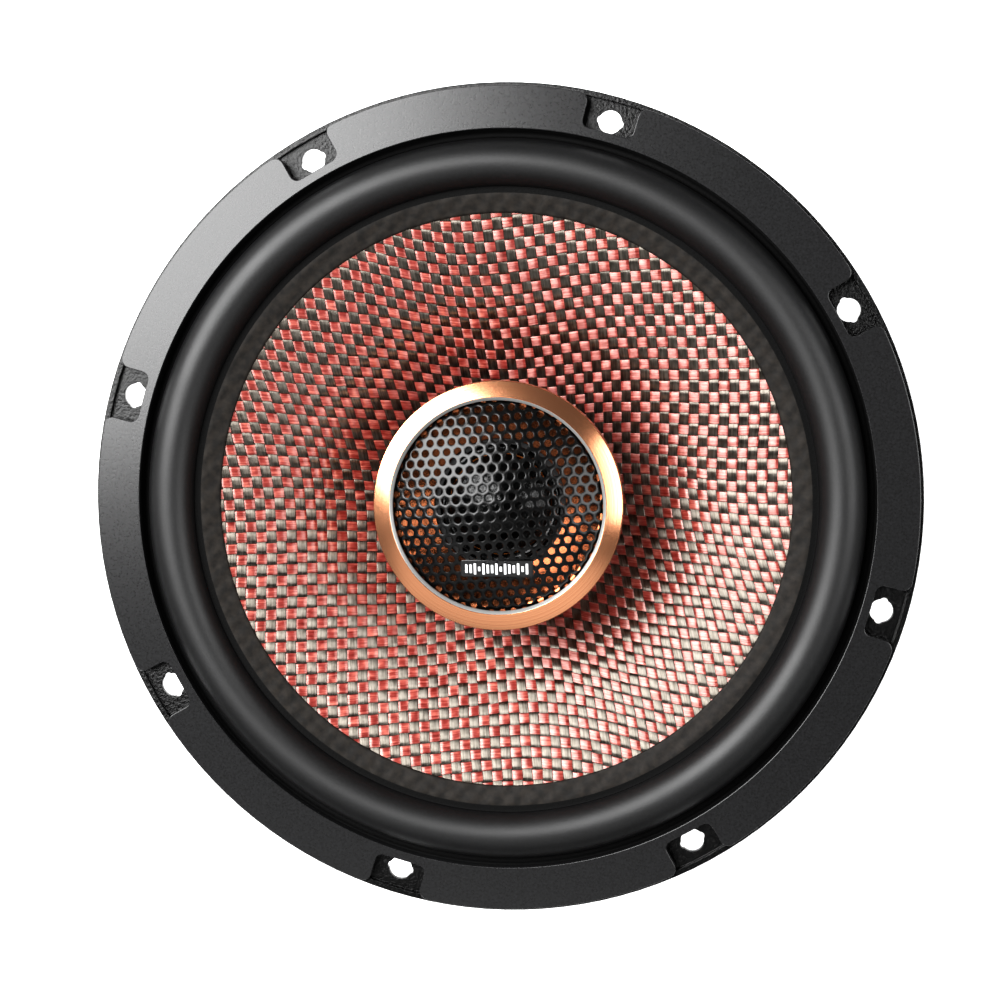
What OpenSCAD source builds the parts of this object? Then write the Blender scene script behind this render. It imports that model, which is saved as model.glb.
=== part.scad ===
// Coaxial car loudspeaker, nominal 165 mm (6.5 inch): a woven-cone woofer with a
// dome tweeter carried on a post in front of it.
// Millimetres. +Z points out of the front, along the speaker's axis.
// z = 0 is the rear face of the mounting flange, and x = y = 0 is the speaker's axis.

/* [Mounting flange] */
// Outside diameter of the flange
flange_d = 165; // [164.5:0.5:167]
// Thickness of the pressed steel sheet
sheet_t = 1.2; // [1:0.1:1.3]
// Height of the upturned rim above the sheet
rim_h = 1; // [0.5:0.1:1]
// Width of the upturned rim
rim_w = 1.1; // [1:0.1:1.1]
// Pitch circle of the mounting holes
bolt_pcd = 155; // [154.6:0.2:155.4]
// Number of mounting holes
bolt_count = 8; // [4, 8]
// Radius of a mounting hole
bolt_hole_r = 2.3; // [2.1:0.1:2.4]
// Angle of the first mounting hole from +X
bolt_clock = 29; // [0:1:44]

/* [Basket] */
// Outer radius of the skirt that passes through the panel cut-out
skirt_r = 70.6; // [70.4:0.1:71]
// Height of the skirt below the flange
skirt_h = 9; // [8:0.5:10]
// Outer radius of the ledge that the spider is glued to
ledge_r = 47; // [46.5:0.5:48]
// Height of the ledge's upper face
ledge_z = -28; // [-28.5:0.5:-27.5]
// Outer radius of the basket's neck, below the ledge
neck_r = 37.2; // [37:0.1:37.4]
// Height of the neck floor's upper face
floor_z = -37; // [-37.5:0.5:-36.5]
// Angle that each window spans
window_angle = 60; // [50:1:62]

/* [Gasket] */
// Inner radius of the moulded gasket
gasket_in_r = 73.3; // [73:0.1:73.6]
// Height of the gasket's front face
gasket_top = 4.4; // [4:0.1:5]
// Width of the pocket around each mounting hole
pocket_w = 10.3; // [9.5:0.1:11]

/* [Cone and surround] */
// Radius of the cone's outer edge
cone_edge_r = 61.8; // [61.5:0.1:61.8]
// Height of the cone's outer edge
cone_edge_z = 3.2; // [2.8:0.1:3.2]
// Depth from the cone's edge to its neck
cone_depth = 22; // [21:0.5:22.5]
// Thickness of the cured cloth
cone_t = 0.5; // [0.4:0.1:0.6]
// Radius where the rubber band on the cone ends
band_in_r = 57.3; // [56.5:0.1:58]
// Inner radius of the surround's roll
roll_in_r = 62.1; // [62.1:0.1:62.3]
// Outer radius of the surround's roll
roll_out_r = 71.5; // [71.3:0.1:71.6]
// Thickness of the rubber
rubber_t = 0.7; // [0.6:0.1:0.8]

/* [Motor] */
// Inner radius of the voice coil's former
former_r = 12.6; // [12.5:0.05:12.7]
// Thickness of the front plate and of the back plate
plate_h = 5; // [4.5:0.5:5]
// Radius of the ferrite ring
magnet_r = 42.5; // [42:0.1:42.5]
// Height of the ferrite ring
magnet_h = 15; // [14.5:0.5:15]

/* [Tweeter] */
// Outer radius of the copper bezel
bezel_r = 24.3; // [24:0.1:24.6]
// Height of the tweeter housing's base
tweeter_z = 0; // [-1:0.5:4]
// Height of the bezel's crest above the housing's base
bezel_h = 13.8; // [13.5:0.1:14.1]
// Radius of the sphere that the grille is part of
grille_sphere_r = 48.7; // [46:0.1:54]
// Radius of the silk dome
dome_r = 9.85; // [9.85:0.01:9.88]

/* [Hidden] */
$fn = 96;
eps = 0.02;

flange_r = flange_d / 2;
rim_top = sheet_t + rim_h;

// basket slope between the skirt and the ledge
slope_dr = skirt_r - ledge_r;
slope_dz = (sheet_t - ledge_z) - skirt_h;
slope_len = sqrt(slope_dr * slope_dr + slope_dz * slope_dz);
slope_tilt = atan2(slope_dr, slope_dz);
slope_mid_r = (skirt_r + ledge_r) / 2;
slope_mid_z = -(skirt_h + sheet_t - ledge_z) / 2;
spoke_count = 4;
spoke_angle = 45;
board_angle = -45;
window_top = -skirt_h - 2;
window_bottom = ledge_z + 1.5;

// cone: z falls from its edge by a straight part and a curved part
cone_straight = 0.41 * cone_depth;
cone_curved = cone_depth - cone_straight;
former_t = 0.25;
former_out_r = former_r + former_t;
neck_z = cone_edge_z - cone_depth;
collar_h = 1.6;

// surround
roll_c = (roll_in_r + roll_out_r) / 2;
roll_r = (roll_out_r - roll_in_r) / 2;
roll_z = 3;
band_t = 0.6;
band_gap = 0.05;
foot_out_r = 74.8;

// spider
spider_in_r = 13;
spider_wave_r0 = 15;
spider_wave_r1 = 35;
spider_rolls = 6;
spider_amp = 1.1;
spider_t = 0.5;
spider_mid_z = ledge_z + 0.3;

// terminal board and crossover capacitor
board_w = 24;
board_h = 16;
board_t = 1.6;
board_rivet_pitch = 11.4;
board_rivet_r = 1.5;
tab_t = 0.8;
positive_tab_y = 4.6;
positive_tab_w = 4.8;
negative_tab_y = -8.4;
negative_tab_w = 2.8;
cap_angle = 34;
cap_seat_r = 42.3;
cap_z = -34;
cap_r = 4;
cap_len = 16;

// motor, from the basket's floor down
front_plate_z = floor_z - sheet_t;
magnet_z = front_plate_z - plate_h;
back_plate_z = magnet_z - magnet_h;
back_z = back_plate_z - plate_h;
front_plate_r = 38;
gap_out_r = 13.9;
pole_r = 12.25;
pole_top = floor_z - 0.4;
pole_bore_r = 4.3;
back_plate_r = 39;
nut_pocket_r = 8.6;
nut_pocket_h = 3.6;
coil_h = 11;
coil_t = 0.6;
coil_mid_z = front_plate_z - plate_h / 2;
rivet_pcr = 26;
rivet_r = 2.5;
boot_t = 1.6;
boot_back_t = 2.2;
boot_top = magnet_z - 3.3;
boot_window_r = 15;
wire_r = 0.5;
wire_side = 0.65;

// post, then the tweeter, whose heights are above its housing's base
post_base_r = 11;
post_base_h = 2;
post_r = 6.5;
post_tail_r = 4;
post_bore_r = 2.4;
post_top_r = 9.5;
housing_floor = 1.5;
screw_pcr = 6.4;
pot_r = 12.6;
pot_gap_r = 10.35;
pot_floor_t = 1.2;
pot_top = 6.3;
tweeter_magnet_r = 8.4;
tweeter_magnet_h = 2.2;
pole_plate_r = 9.3;
faceplate_in_r = 11.95;
faceplate_z = 6.5;
faceplate_top = 7.5;
dome_base_z = 7.1;
dome_h = 3.4;
dome_t = 0.25;
dome_sphere_r = (dome_r * dome_r + dome_h * dome_h) / (2 * dome_h);
grille_edge_r = 20.3;
grille_z = 12;
grille_t = 0.6;
grille_drop = sqrt(grille_sphere_r * grille_sphere_r - grille_edge_r * grille_edge_r);
grille_centre_z = grille_z - grille_drop;
badge_y = -12;
badge_w = 14.2;
badge_h = 3.4;
badge_t = 0.6;

// routes that the leads follow, in a frame whose +X points at the terminal board
tinsel_route = [
    [56, 7, -15.9], [54.2, 7.2, -14.3], [50.5, 7.6, -14.2], [44, 8, -17.5],
    [36, 7.8, -21], [28, 7, -21.8], [21, 6, -20.6], [16.4, 5.2, -20.8],
    [13.5, 4.6, -22.4], [12.95, 4.4, -24.4]
];
capacitor_lead_route = [
    [39.4, 15.2, -34], [41, 14, -34], [45, 13.2, -33.2], [50, 12, -31.4],
    [55, 10.4, -28.4], [59, 8.4, -24.6], [60.6, 7.4, -22.3]
];
minus_start = [
    [60.6, -7, -22.3], [58.4, -6.8, -25.4], [54, -5.6, -29.4], [50, -3.6, -34],
    [46.8, -1.8, -39.5], [44.4, -0.8, -45]
];
plus_start = [
    [27.3, 34.2, -34], [27, 36.4, -34.6], [29, 38.2, -37.4], [33.6, 34.6, -40.2],
    [39, 26.6, -41.6], [43.2, 17, -42.6], [45.2, 8, -43.4], [44.4, 2.6, -45]
];

function unit(v) = v / norm(v);

// Height of the cone's front face at radius r.
function cone_t_at(r) = (cone_edge_r - r) / (cone_edge_r - former_out_r);
function cone_z(r) = cone_edge_z - cone_straight * cone_t_at(r)
    - cone_curved * pow(cone_t_at(r), 2);

// Height of the spider's mid-plane at radius r: rolls between its collar and its flange.
function spider_z(r) = spider_mid_z + spider_amp
    * (r < spider_wave_r0 || r > spider_wave_r1 ? 0
    : sin(360 * spider_rolls * (r - spider_wave_r0) / (spider_wave_r1 - spider_wave_r0)));

// A smooth curve through the points: each stretch is a cubic whose end slopes
// follow the neighbouring points and whose speed is the stretch's own length.
function way(p, i) = unit(p[min(i + 1, len(p) - 1)] - p[max(i - 1, 0)]);
function cubic(a, b, ta, tb, t) =
    let (l = norm(b - a))
    (2 * t * t * t - 3 * t * t + 1) * a + (t * t * t - 2 * t * t + t) * l * ta
    + (3 * t * t - 2 * t * t * t) * b + (t * t * t - t * t) * l * tb;
function smooth(p, steps) = concat(
    [for (i = [0 : len(p) - 2]) for (s = [0 : steps - 1])
        cubic(p[i], p[i + 1], way(p, i), way(p, i + 1), s / steps)],
    [p[len(p) - 1]]
);

// Side directions along a path, each turned as little as possible from the one before.
function sideways(p, i, u) =
    let (t = way(p, i), v = unit(u - (u * t) * t))
    i == len(p) - 1 ? [v] : concat([v], sideways(p, i + 1, v));

// The part of a tweeter wire that runs through the boot, the post and the housing.
function wire_tail(y) = [
    [43.5, y, -50], [43.5, y, -57.5], [42.8, y, -61], [40.4, y, -63.6], [36, y, -64.05],
    [25, y, -64.05], [9, y, -64.05], [4.2, y, -63.9], [1.3, y, -62.4], [0.1, y, -59],
    [0, y, -45], [0, y, -24], [0, y, tweeter_z - 3.5], [0.5, y, tweeter_z - 0.5],
    [2.4, y, tweeter_z + 0.8], [6, y, tweeter_z + 0.9], [12.9, y, tweeter_z + 0.85],
    [13.6, y, tweeter_z + 1.8], [13.6, y, tweeter_z + 4.7]
];

// ---------- shared shapes ----------

module ring(r_in, r_out, z0, z1) {
    difference() {
        translate([0, 0, z0]) cylinder(r = r_out, h = z1 - z0);
        translate([0, 0, z0 - 1]) cylinder(r = r_in, h = z1 - z0 + 2);
    }
}

module tube_along(route, r) {
    sides = 8;
    pts = smooth(route, 2);
    seed = abs(way(pts, 0)[1]) > 0.9 ? [1, 0, 0] : [0, 1, 0];
    u = sideways(pts, 0, seed);
    last = len(pts) - 1;
    rings = [for (i = [0 : last]) for (k = [0 : sides - 1])
        let (a = 360 * k / sides, w = cross(way(pts, i), u[i]))
        pts[i] + r * (cos(a) * u[i] + sin(a) * w)];
    walls = [for (i = [0 : last - 1]) for (k = [0 : sides - 1])
        [i * sides + k, i * sides + (k + 1) % sides,
         (i + 1) * sides + (k + 1) % sides, (i + 1) * sides + k]];
    caps = [[for (k = [sides - 1 : -1 : 0]) k], [for (k = [0 : sides - 1]) last * sides + k]];
    polyhedron(points = rings, faces = concat(walls, caps), convexity = 10);
}

module at_bolts() {
    for (i = [0 : bolt_count - 1])
        rotate([0, 0, bolt_clock + i * 360 / bolt_count])
            translate([bolt_pcd / 2, 0, 0]) children();
}

// Puts children on the outside of the spoke that carries the terminals:
// +X is the spoke's outward normal and +Z runs up the slope.
module on_spoke() {
    rotate([0, 0, board_angle])
        translate([slope_mid_r, 0, slope_mid_z])
            rotate([0, slope_tilt, 0]) children();
}

module near_board() {
    rotate([0, 0, board_angle]) children();
}

// Puts children on the tweeter housing's base.
module at_tweeter() {
    translate([0, 0, tweeter_z]) children();
}

module at_housing_screws() {
    for (a = [60, 180, 300])
        near_board() rotate([0, 0, a]) translate([screw_pcr, 0, 0]) children();
}

// ---------- basket ----------

module basket_profile() {
    nx = slope_dz / slope_len;
    nz = slope_dr / slope_len;
    rise = slope_dz / slope_dr;
    in_r = ledge_r - nx * sheet_t;
    in_z = ledge_z - sheet_t + nz * sheet_t;
    ledge_in_r = in_r + (ledge_z - in_z) / rise;
    skirt_in_z = in_z + (skirt_r - sheet_t - in_r) * rise;
    polygon([
        [flange_r, 0],
        [flange_r, rim_top],
        [flange_r - rim_w, rim_top],
        [flange_r - rim_w, sheet_t],
        [skirt_r - sheet_t, sheet_t],
        [skirt_r - sheet_t, skirt_in_z],
        [ledge_in_r, ledge_z],
        [neck_r - sheet_t, ledge_z],
        [neck_r - sheet_t, floor_z],
        [gap_out_r + 0.7, floor_z],
        [gap_out_r + 0.7, floor_z - sheet_t],
        [neck_r, floor_z - sheet_t],
        [neck_r, ledge_z - sheet_t],
        [ledge_r, ledge_z - sheet_t],
        [skirt_r, -skirt_h],
        [skirt_r, 0]
    ]);
}

// A mounting hole: round, with a shallow lobe on each side along the pitch circle.
module bolt_hole() {
    translate([0, 0, -1]) cylinder(r = bolt_hole_r, h = sheet_t + 2);
    for (side = [-1, 1])
        translate([0, side * 1.8, -1]) cylinder(r = 0.85, h = sheet_t + 2);
}

module window() {
    rotate([0, 0, -window_angle / 2])
        rotate_extrude(angle = window_angle)
            translate([ledge_r - 4, window_bottom])
                square([skirt_r - ledge_r + 8, window_top - window_bottom]);
}

module basket() {
    color("#1c1c1d")
        difference() {
            rotate_extrude() basket_profile();
            at_bolts() bolt_hole();
            for (i = [0 : spoke_count - 1])
                rotate([0, 0, i * 360 / spoke_count]) window();
            for (i = [0 : 3])
                rotate([0, 0, 45 + 90 * i])
                    translate([rivet_pcr, 0, floor_z - sheet_t - 1])
                        cylinder(r = rivet_r + 0.05, h = sheet_t + 2);
            on_spoke() {
                translate([-3, -10.5, -3.5]) cube([5, 21, 7]);
                at_board_rivets()
                    translate([0, 0, -3]) cylinder(r = board_rivet_r + 0.05, h = 6);
            }
        }
}

// ---------- gasket ----------

// A pocket: a slot open to the rim, with rounded inner corners.
module pocket() {
    corner_r = 1.5;
    in_x = 75.1 - bolt_pcd / 2;
    out_x = 8;
    half = pocket_w / 2;
    translate([0, 0, -1]) {
        translate([in_x + corner_r, -half, 0]) cube([out_x, pocket_w, 10]);
        translate([in_x, -half + corner_r, 0]) cube([out_x, pocket_w - 2 * corner_r, 10]);
        for (side = [-1, 1])
            translate([in_x + corner_r, side * (half - corner_r), 0])
                cylinder(r = corner_r, h = 10);
    }
}

module front_gasket() {
    inner_r = flange_r - rim_w - 0.1;
    foot_top = sheet_t + rubber_t;
    color("#3b3b3c")
        difference() {
            union() {
                ring(gasket_in_r, inner_r, foot_top, gasket_top);
                ring(foot_out_r + 0.1, inner_r, sheet_t, foot_top);
                ring(inner_r - 1, flange_r - 0.25, rim_top + 0.1, gasket_top);
            }
            at_bolts() pocket();
        }
}

// ---------- moving cone and its suspension ----------

module cone() {
    steps = 28;
    radii = [for (i = [0 : steps])
        former_out_r + (cone_edge_r - former_out_r) * i / steps];
    color("#b0807a")
        rotate_extrude()
            polygon(concat(
                [for (r = radii) [r, cone_z(r)]],
                [for (i = [steps : -1 : 1]) [radii[i], cone_z(radii[i]) - cone_t]],
                [[former_out_r + cone_t, cone_z(former_out_r + cone_t) - 1.3 * cone_t],
                 [former_out_r + cone_t, neck_z - collar_h],
                 [former_out_r, neck_z - collar_h]]
            ));
}

module surround() {
    steps = 4;
    leg_r = roll_in_r + rubber_t;
    radii = [for (i = [0 : steps]) band_in_r + (cone_edge_r - band_in_r) * i / steps];
    color("#2c2c2d")
        rotate_extrude() {
            difference() {
                translate([roll_c, roll_z]) circle(r = roll_r);
                translate([roll_c, roll_z]) circle(r = roll_r - rubber_t);
                translate([roll_c - 10, roll_z - 10]) square([20, 10]);
            }
            translate([roll_out_r - rubber_t, sheet_t])
                square([rubber_t, roll_z - sheet_t + eps]);
            translate([roll_out_r - rubber_t, sheet_t])
                square([foot_out_r - roll_out_r + rubber_t, rubber_t]);
            polygon(concat(
                [for (r = radii) [r, cone_z(r) + band_gap]],
                [[leg_r, cone_z(cone_edge_r) + band_gap],
                 [leg_r, cone_z(cone_edge_r) + band_gap + band_t]],
                [for (i = [steps : -1 : 0])
                    [radii[i], cone_z(radii[i]) + band_gap + band_t]]
            ));
            translate([roll_in_r, roll_z - 0.2]) square([rubber_t, 0.8]);
        }
}

module spider() {
    step = 0.5;
    end_r = 44;
    radii = [for (r = [spider_in_r + 1 : step : end_r]) r];
    n = len(radii) - 1;
    color("#c9b98a")
        rotate_extrude()
            polygon(concat(
                [[spider_in_r, spider_mid_z - spider_t / 2],
                 [spider_in_r, spider_mid_z + 1.8],
                 [spider_in_r + spider_t, spider_mid_z + 1.8],
                 [spider_in_r + spider_t, spider_z(radii[0]) + spider_t / 2]],
                [for (i = [0 : n]) [radii[i], spider_z(radii[i]) + spider_t / 2]],
                [for (i = [n : -1 : 0]) [radii[i], spider_z(radii[i]) - spider_t / 2]]
            ));
}

module coil_former() {
    color("#8a6a3a")
        ring(former_r, former_out_r, coil_mid_z - coil_h / 2 - 0.6, neck_z + 1.4);
}

module voice_coil() {
    color("#b8642e")
        ring(former_out_r, former_out_r + coil_t,
            coil_mid_z - coil_h / 2, coil_mid_z + coil_h / 2);
}

// ---------- motor ----------

module front_plate() {
    color("#8d9094")
        difference() {
            ring(gap_out_r, front_plate_r, magnet_z, front_plate_z);
            for (i = [0 : 3])
                rotate([0, 0, 45 + 90 * i])
                    translate([rivet_pcr, 0, front_plate_z - 3.6])
                        cylinder(r = rivet_r + 0.05, h = 6);
        }
}

module ferrite_magnet() {
    color("#2f2d2c") ring(20, magnet_r, back_plate_z, magnet_z);
}

module yoke() {
    chamfer = 0.8;
    color("#8d9094")
        rotate_extrude()
            polygon([
                [nut_pocket_r, back_z],
                [back_plate_r - chamfer, back_z],
                [back_plate_r, back_z + chamfer],
                [back_plate_r, back_plate_z],
                [pole_r, back_plate_z],
                [pole_r, pole_top - chamfer],
                [pole_r - chamfer, pole_top],
                [pole_bore_r, pole_top],
                [pole_bore_r, back_z + nut_pocket_h],
                [nut_pocket_r, back_z + nut_pocket_h]
            ]);
}

// Path of the tweeter wires' channel, from the back window round to the boot's front edge.
module boot_channel() {
    channel_w = 3.8;
    channel_out = magnet_r + 2.1;
    translate([0, channel_w / 2, 0]) rotate([90, 0, 0]) linear_extrude(channel_w)
        polygon([
            [boot_window_r - 1, back_z - 1.6],
            [channel_out, back_z - 1.6],
            [channel_out, boot_top + 1],
            [magnet_r - 1, boot_top + 1],
            [magnet_r - 1, back_z + 0.5],
            [boot_window_r - 1, back_z + 0.5]
        ]);
}

module magnet_boot() {
    rib_w = 6;
    rib_base = back_z - boot_back_t + 1.5;
    rib_top = boot_top - 0.6;
    color("#252525")
        difference() {
            union() {
                rotate_extrude()
                    polygon([
                        [boot_window_r, back_z],
                        [magnet_r, back_z],
                        [magnet_r, boot_top],
                        [magnet_r + boot_t, boot_top],
                        [magnet_r + boot_t, back_z - boot_back_t + 1],
                        [magnet_r + boot_t - 1, back_z - boot_back_t],
                        [boot_window_r, back_z - boot_back_t]
                    ]);
                near_board() translate([magnet_r + 0.8, -rib_w / 2, rib_base])
                    cube([2.1, rib_w, rib_top - rib_base]);
            }
            near_board() boot_channel();
        }
}

module plate_rivets() {
    color("#a7a9ac")
        for (i = [0 : 3])
            rotate([0, 0, 45 + 90 * i])
                translate([rivet_pcr, 0, 0]) {
                    translate([0, 0, front_plate_z - 3.5])
                        cylinder(r = rivet_r, h = 3.5 + sheet_t);
                    translate([0, 0, floor_z]) cylinder(r = rivet_r + 1.5, h = 0.7);
                    translate([0, 0, floor_z + 0.7])
                        cylinder(r1 = rivet_r + 1.5, r2 = rivet_r + 0.5, h = 0.5);
                }
}

// ---------- terminals and crossover ----------

module at_board_rivets() {
    for (side = [-1, 1])
        translate([0, 0, side * board_rivet_pitch / 2]) rotate([0, 90, 0]) children();
}

module terminal_board() {
    slot_t = tab_t / 2;
    color("#26211c")
        on_spoke()
            difference() {
                translate([eps, -board_w / 2, -board_h / 2]) cube([board_t, board_w, board_h]);
                translate([-1, positive_tab_y, -slot_t]) cube([5, positive_tab_w, tab_t]);
                translate([-1, negative_tab_y, -slot_t]) cube([5, negative_tab_w, tab_t]);
                at_board_rivets()
                    translate([0, 0, -1]) cylinder(r = board_rivet_r + 0.05, h = 6);
            }
}

// A push-on tab: a flat blade through the board, with shoulders and a hole in its tip.
module tab(y0, width) {
    on_spoke()
        difference() {
            union() {
                translate([-4, y0, -tab_t / 2]) cube([14, width, tab_t]);
                translate([board_t + 0.1, y0 - 0.6, -tab_t / 2]) cube([0.8, width + 1.2, tab_t]);
            }
            translate([7, y0 + width / 2, -1]) cylinder(r = 0.7, h = 2);
        }
}

module positive_tab() {
    color("#c9a24a") tab(positive_tab_y, positive_tab_w);
}

module negative_tab() {
    color("#c2c5c8") tab(negative_tab_y, negative_tab_w);
}

module board_rivets() {
    color("#a7a9ac")
        on_spoke() at_board_rivets() {
            translate([0, 0, -1.9]) cylinder(r = board_rivet_r, h = 4.3);
            translate([0, 0, board_t + 0.1]) cylinder(r1 = 2.6, r2 = 1.9, h = 0.9);
            translate([0, 0, -2.2]) cylinder(r1 = 1.9, r2 = 2.6, h = 0.8);
        }
}

module at_capacitor() {
    near_board()
        rotate([0, 0, cap_angle]) translate([cap_seat_r, 0, cap_z]) children();
}

module crossover_capacitor() {
    color("#2b3f78")
        at_capacitor()
            rotate([-90, 0, 0])
                translate([0, 0, -cap_len / 2]) cylinder(r = cap_r, h = cap_len);
}

module capacitor_glue() {
    color("#b9a06a")
        difference() {
            at_capacitor() translate([-6, -5, -3.2]) cube([6, 10, 6.2]);
            translate([0, 0, cap_z - 10]) cylinder(r = neck_r, h = 20);
            at_capacitor()
                rotate([-90, 0, 0]) translate([0, 0, -15]) cylinder(r = cap_r, h = 30);
        }
}

module capacitor_lead() {
    color("#c2c5c8") near_board() tube_along(capacitor_lead_route, 0.4);
}

module positive_tinsel_lead() {
    color("#b98a5a") near_board() tube_along(tinsel_route, 0.6);
}

module negative_tinsel_lead() {
    route = [for (p = tinsel_route) [p[0], -p[1], p[2]]];
    color("#b98a5a") near_board() tube_along(route, 0.6);
}

module tweeter_wires() {
    color("#8c1f1f")
        near_board() {
            tube_along(concat(plus_start, wire_tail(wire_side)), wire_r);
            tube_along(concat(minus_start, wire_tail(-wire_side)), wire_r);
        }
}

// ---------- post ----------

module tweeter_post() {
    base_top = pole_top + post_base_h;
    color("#1f1f20")
        rotate_extrude()
            polygon([
                [post_bore_r, back_z + 0.6],
                [post_tail_r, back_z + 0.6],
                [post_tail_r, pole_top],
                [post_base_r, pole_top],
                [post_base_r, base_top],
                [post_r + 1, base_top + 1],
                [post_r, base_top + 4],
                [post_r, tweeter_z - 6],
                [post_top_r, tweeter_z - 2],
                [post_top_r, tweeter_z],
                [post_bore_r, tweeter_z]
            ]);
}

module post_nut() {
    across_flats = 13;
    color("#b9bcc0")
        translate([0, 0, back_z + 0.25])
            difference() {
                cylinder(r = across_flats / 2 / cos(30), h = nut_pocket_h - 0.3, $fn = 6);
                translate([0, 0, -1]) cylinder(r = post_tail_r + 0.01, h = nut_pocket_h + 2);
            }
}

// ---------- tweeter ----------

module tweeter_housing() {
    color("#b06a42")
        at_tweeter() difference() {
            rotate_extrude()
                polygon([
                    [post_bore_r, 0],
                    [15.5, 0],
                    [23.3, 9.1],
                    [23.3, 11.1],
                    [21.5, 11.1],
                    [21.5, 10.7],
                    [20.6, 10.7],
                    [20.6, 9.4],
                    [14.6, 2.5],
                    [14.6, housing_floor],
                    [post_bore_r, housing_floor]
                ]);
            near_board() translate([0, -1.4, housing_floor - 1.3]) cube([14.4, 2.8, 3]);
            at_housing_screws() {
                translate([0, 0, -1]) cylinder(r = 1.05, h = 4);
                translate([0, 0, 0.6]) cylinder(r1 = 1.05, r2 = 1.95, h = 0.92);
            }
        }
}

module housing_screws() {
    color("#c2c5c8")
        at_tweeter() at_housing_screws() {
            cylinder(r = 1, h = 1);
            translate([0, 0, 0.6]) cylinder(r1 = 1, r2 = 1.85, h = 0.85);
        }
}

module tweeter_bezel() {
    rim = bezel_h;
    color("#c98a5c")
        at_tweeter() rotate_extrude()
            polygon([
                [23.35, rim - 4.5],
                [bezel_r, rim - 4.5],
                [bezel_r, rim - 1.2],
                [bezel_r - 0.25, rim - 0.85],
                [22.4, rim - 0.2],
                [21.1, rim],
                [20.5, rim - 0.6],
                [20.5, grille_z + 0.15],
                [21.25, grille_z],
                [21.25, grille_z - 0.4],
                [21.55, grille_z - grille_t],
                [21.55, 11.15],
                [23.35, 11.15]
            ]);
}

module tweeter_horn() {
    t = 0.7;
    color("#b8744a")
        at_tweeter() rotate_extrude()
            polygon([
                [12.9, faceplate_top + 0.05],
                [14, faceplate_top + 0.05],
                [20.4, 10.75],
                [21.4, 10.75],
                [21.4, 11.35],
                [20, 11.35],
                [16.4, 9.4],
                [12.9, faceplate_top + t]
            ]);
}

module tweeter_grille() {
    color("#2a2a2b")
        at_tweeter() union() {
            intersection() {
                translate([0, 0, grille_centre_z])
                    difference() {
                        sphere(r = grille_sphere_r);
                        sphere(r = grille_sphere_r - grille_t);
                    }
                translate([0, 0, grille_z - grille_t]) cylinder(r = grille_edge_r, h = 10);
            }
            ring(grille_edge_r - 0.3, 21.1, grille_z - grille_t, grille_z);
        }
}

module tweeter_badge() {
    corner_r = 0.6;
    color("#101010")
        at_tweeter() intersection() {
            translate([0, 0, grille_centre_z])
                difference() {
                    sphere(r = grille_sphere_r + badge_t);
                    sphere(r = grille_sphere_r + eps);
                }
            translate([-badge_w / 2, badge_y - badge_h / 2, grille_z]) {
                translate([corner_r, 0, 0]) cube([badge_w - 2 * corner_r, badge_h, 8]);
                translate([0, corner_r, 0]) cube([badge_w, badge_h - 2 * corner_r, 8]);
                for (x = [corner_r, badge_w - corner_r], y = [corner_r, badge_h - corner_r])
                    translate([x, y, 0]) cylinder(r = corner_r, h = 8);
            }
        }
}

module tweeter_faceplate() {
    color("#161616") at_tweeter() ring(faceplate_in_r, 14.2, faceplate_z, faceplate_top);
}

module tweeter_dome() {
    color("#1a1a1a")
        at_tweeter() intersection() {
            translate([0, 0, dome_base_z + dome_h - dome_sphere_r])
                difference() {
                    sphere(r = dome_sphere_r);
                    sphere(r = dome_sphere_r - dome_t);
                }
            translate([0, 0, dome_base_z]) cylinder(r = dome_r + 1, h = 5);
        }
}

module tweeter_suspension() {
    mid_r = 11;
    roll = 0.9;
    cloth_t = 0.2;
    color("#202020")
        at_tweeter() rotate_extrude() {
            difference() {
                translate([mid_r, faceplate_z]) circle(r = roll);
                translate([mid_r, faceplate_z]) circle(r = roll - cloth_t);
                translate([mid_r - 2, faceplate_z - 2]) square([4, 2]);
            }
            translate([mid_r + roll - cloth_t, pot_top]) square([1.4, cloth_t - eps]);
            translate([mid_r + roll - cloth_t, pot_top]) square([cloth_t, 0.3]);
        }
}

module tweeter_former() {
    color("#7d5f37") at_tweeter() ring(9.6, 9.75, 3.7, dome_base_z);
}

module tweeter_winding() {
    color("#b8642e") at_tweeter() ring(9.75, 10.05, 3.9, 6.1);
}

module tweeter_pot() {
    color("#8d9094")
        at_tweeter() rotate_extrude()
            polygon([
                [0, housing_floor],
                [pot_r, housing_floor],
                [pot_r, pot_top - 0.9],
                [pot_r + 1, pot_top - 0.9],
                [pot_r + 1, pot_top],
                [pot_gap_r, pot_top],
                [pot_gap_r, housing_floor + pot_floor_t],
                [0, housing_floor + pot_floor_t]
            ]);
}

module tweeter_magnet() {
    color("#c7c9cb")
        at_tweeter() translate([0, 0, housing_floor + pot_floor_t])
            cylinder(r = tweeter_magnet_r, h = tweeter_magnet_h);
}

module tweeter_pole_plate() {
    base = housing_floor + pot_floor_t + tweeter_magnet_h;
    color("#8d9094")
        at_tweeter() translate([0, 0, base]) cylinder(r = pole_plate_r, h = pot_top - base);
}

module tweeter_felt() {
    color("#d8d4c8") at_tweeter() translate([0, 0, pot_top]) cylinder(r = 6, h = 1);
}

basket();
front_gasket();
surround();
cone();
spider();
coil_former();
voice_coil();
front_plate();
ferrite_magnet();
yoke();
magnet_boot();
plate_rivets();
terminal_board();
positive_tab();
negative_tab();
board_rivets();
crossover_capacitor();
capacitor_glue();
capacitor_lead();
positive_tinsel_lead();
negative_tinsel_lead();
tweeter_wires();
tweeter_post();
post_nut();
tweeter_housing();
housing_screws();
tweeter_bezel();
tweeter_horn();
tweeter_grille();
tweeter_badge();
tweeter_faceplate();
tweeter_dome();
tweeter_suspension();
tweeter_former();
tweeter_winding();
tweeter_pot();
tweeter_magnet();
tweeter_pole_plate();
tweeter_felt();
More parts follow.
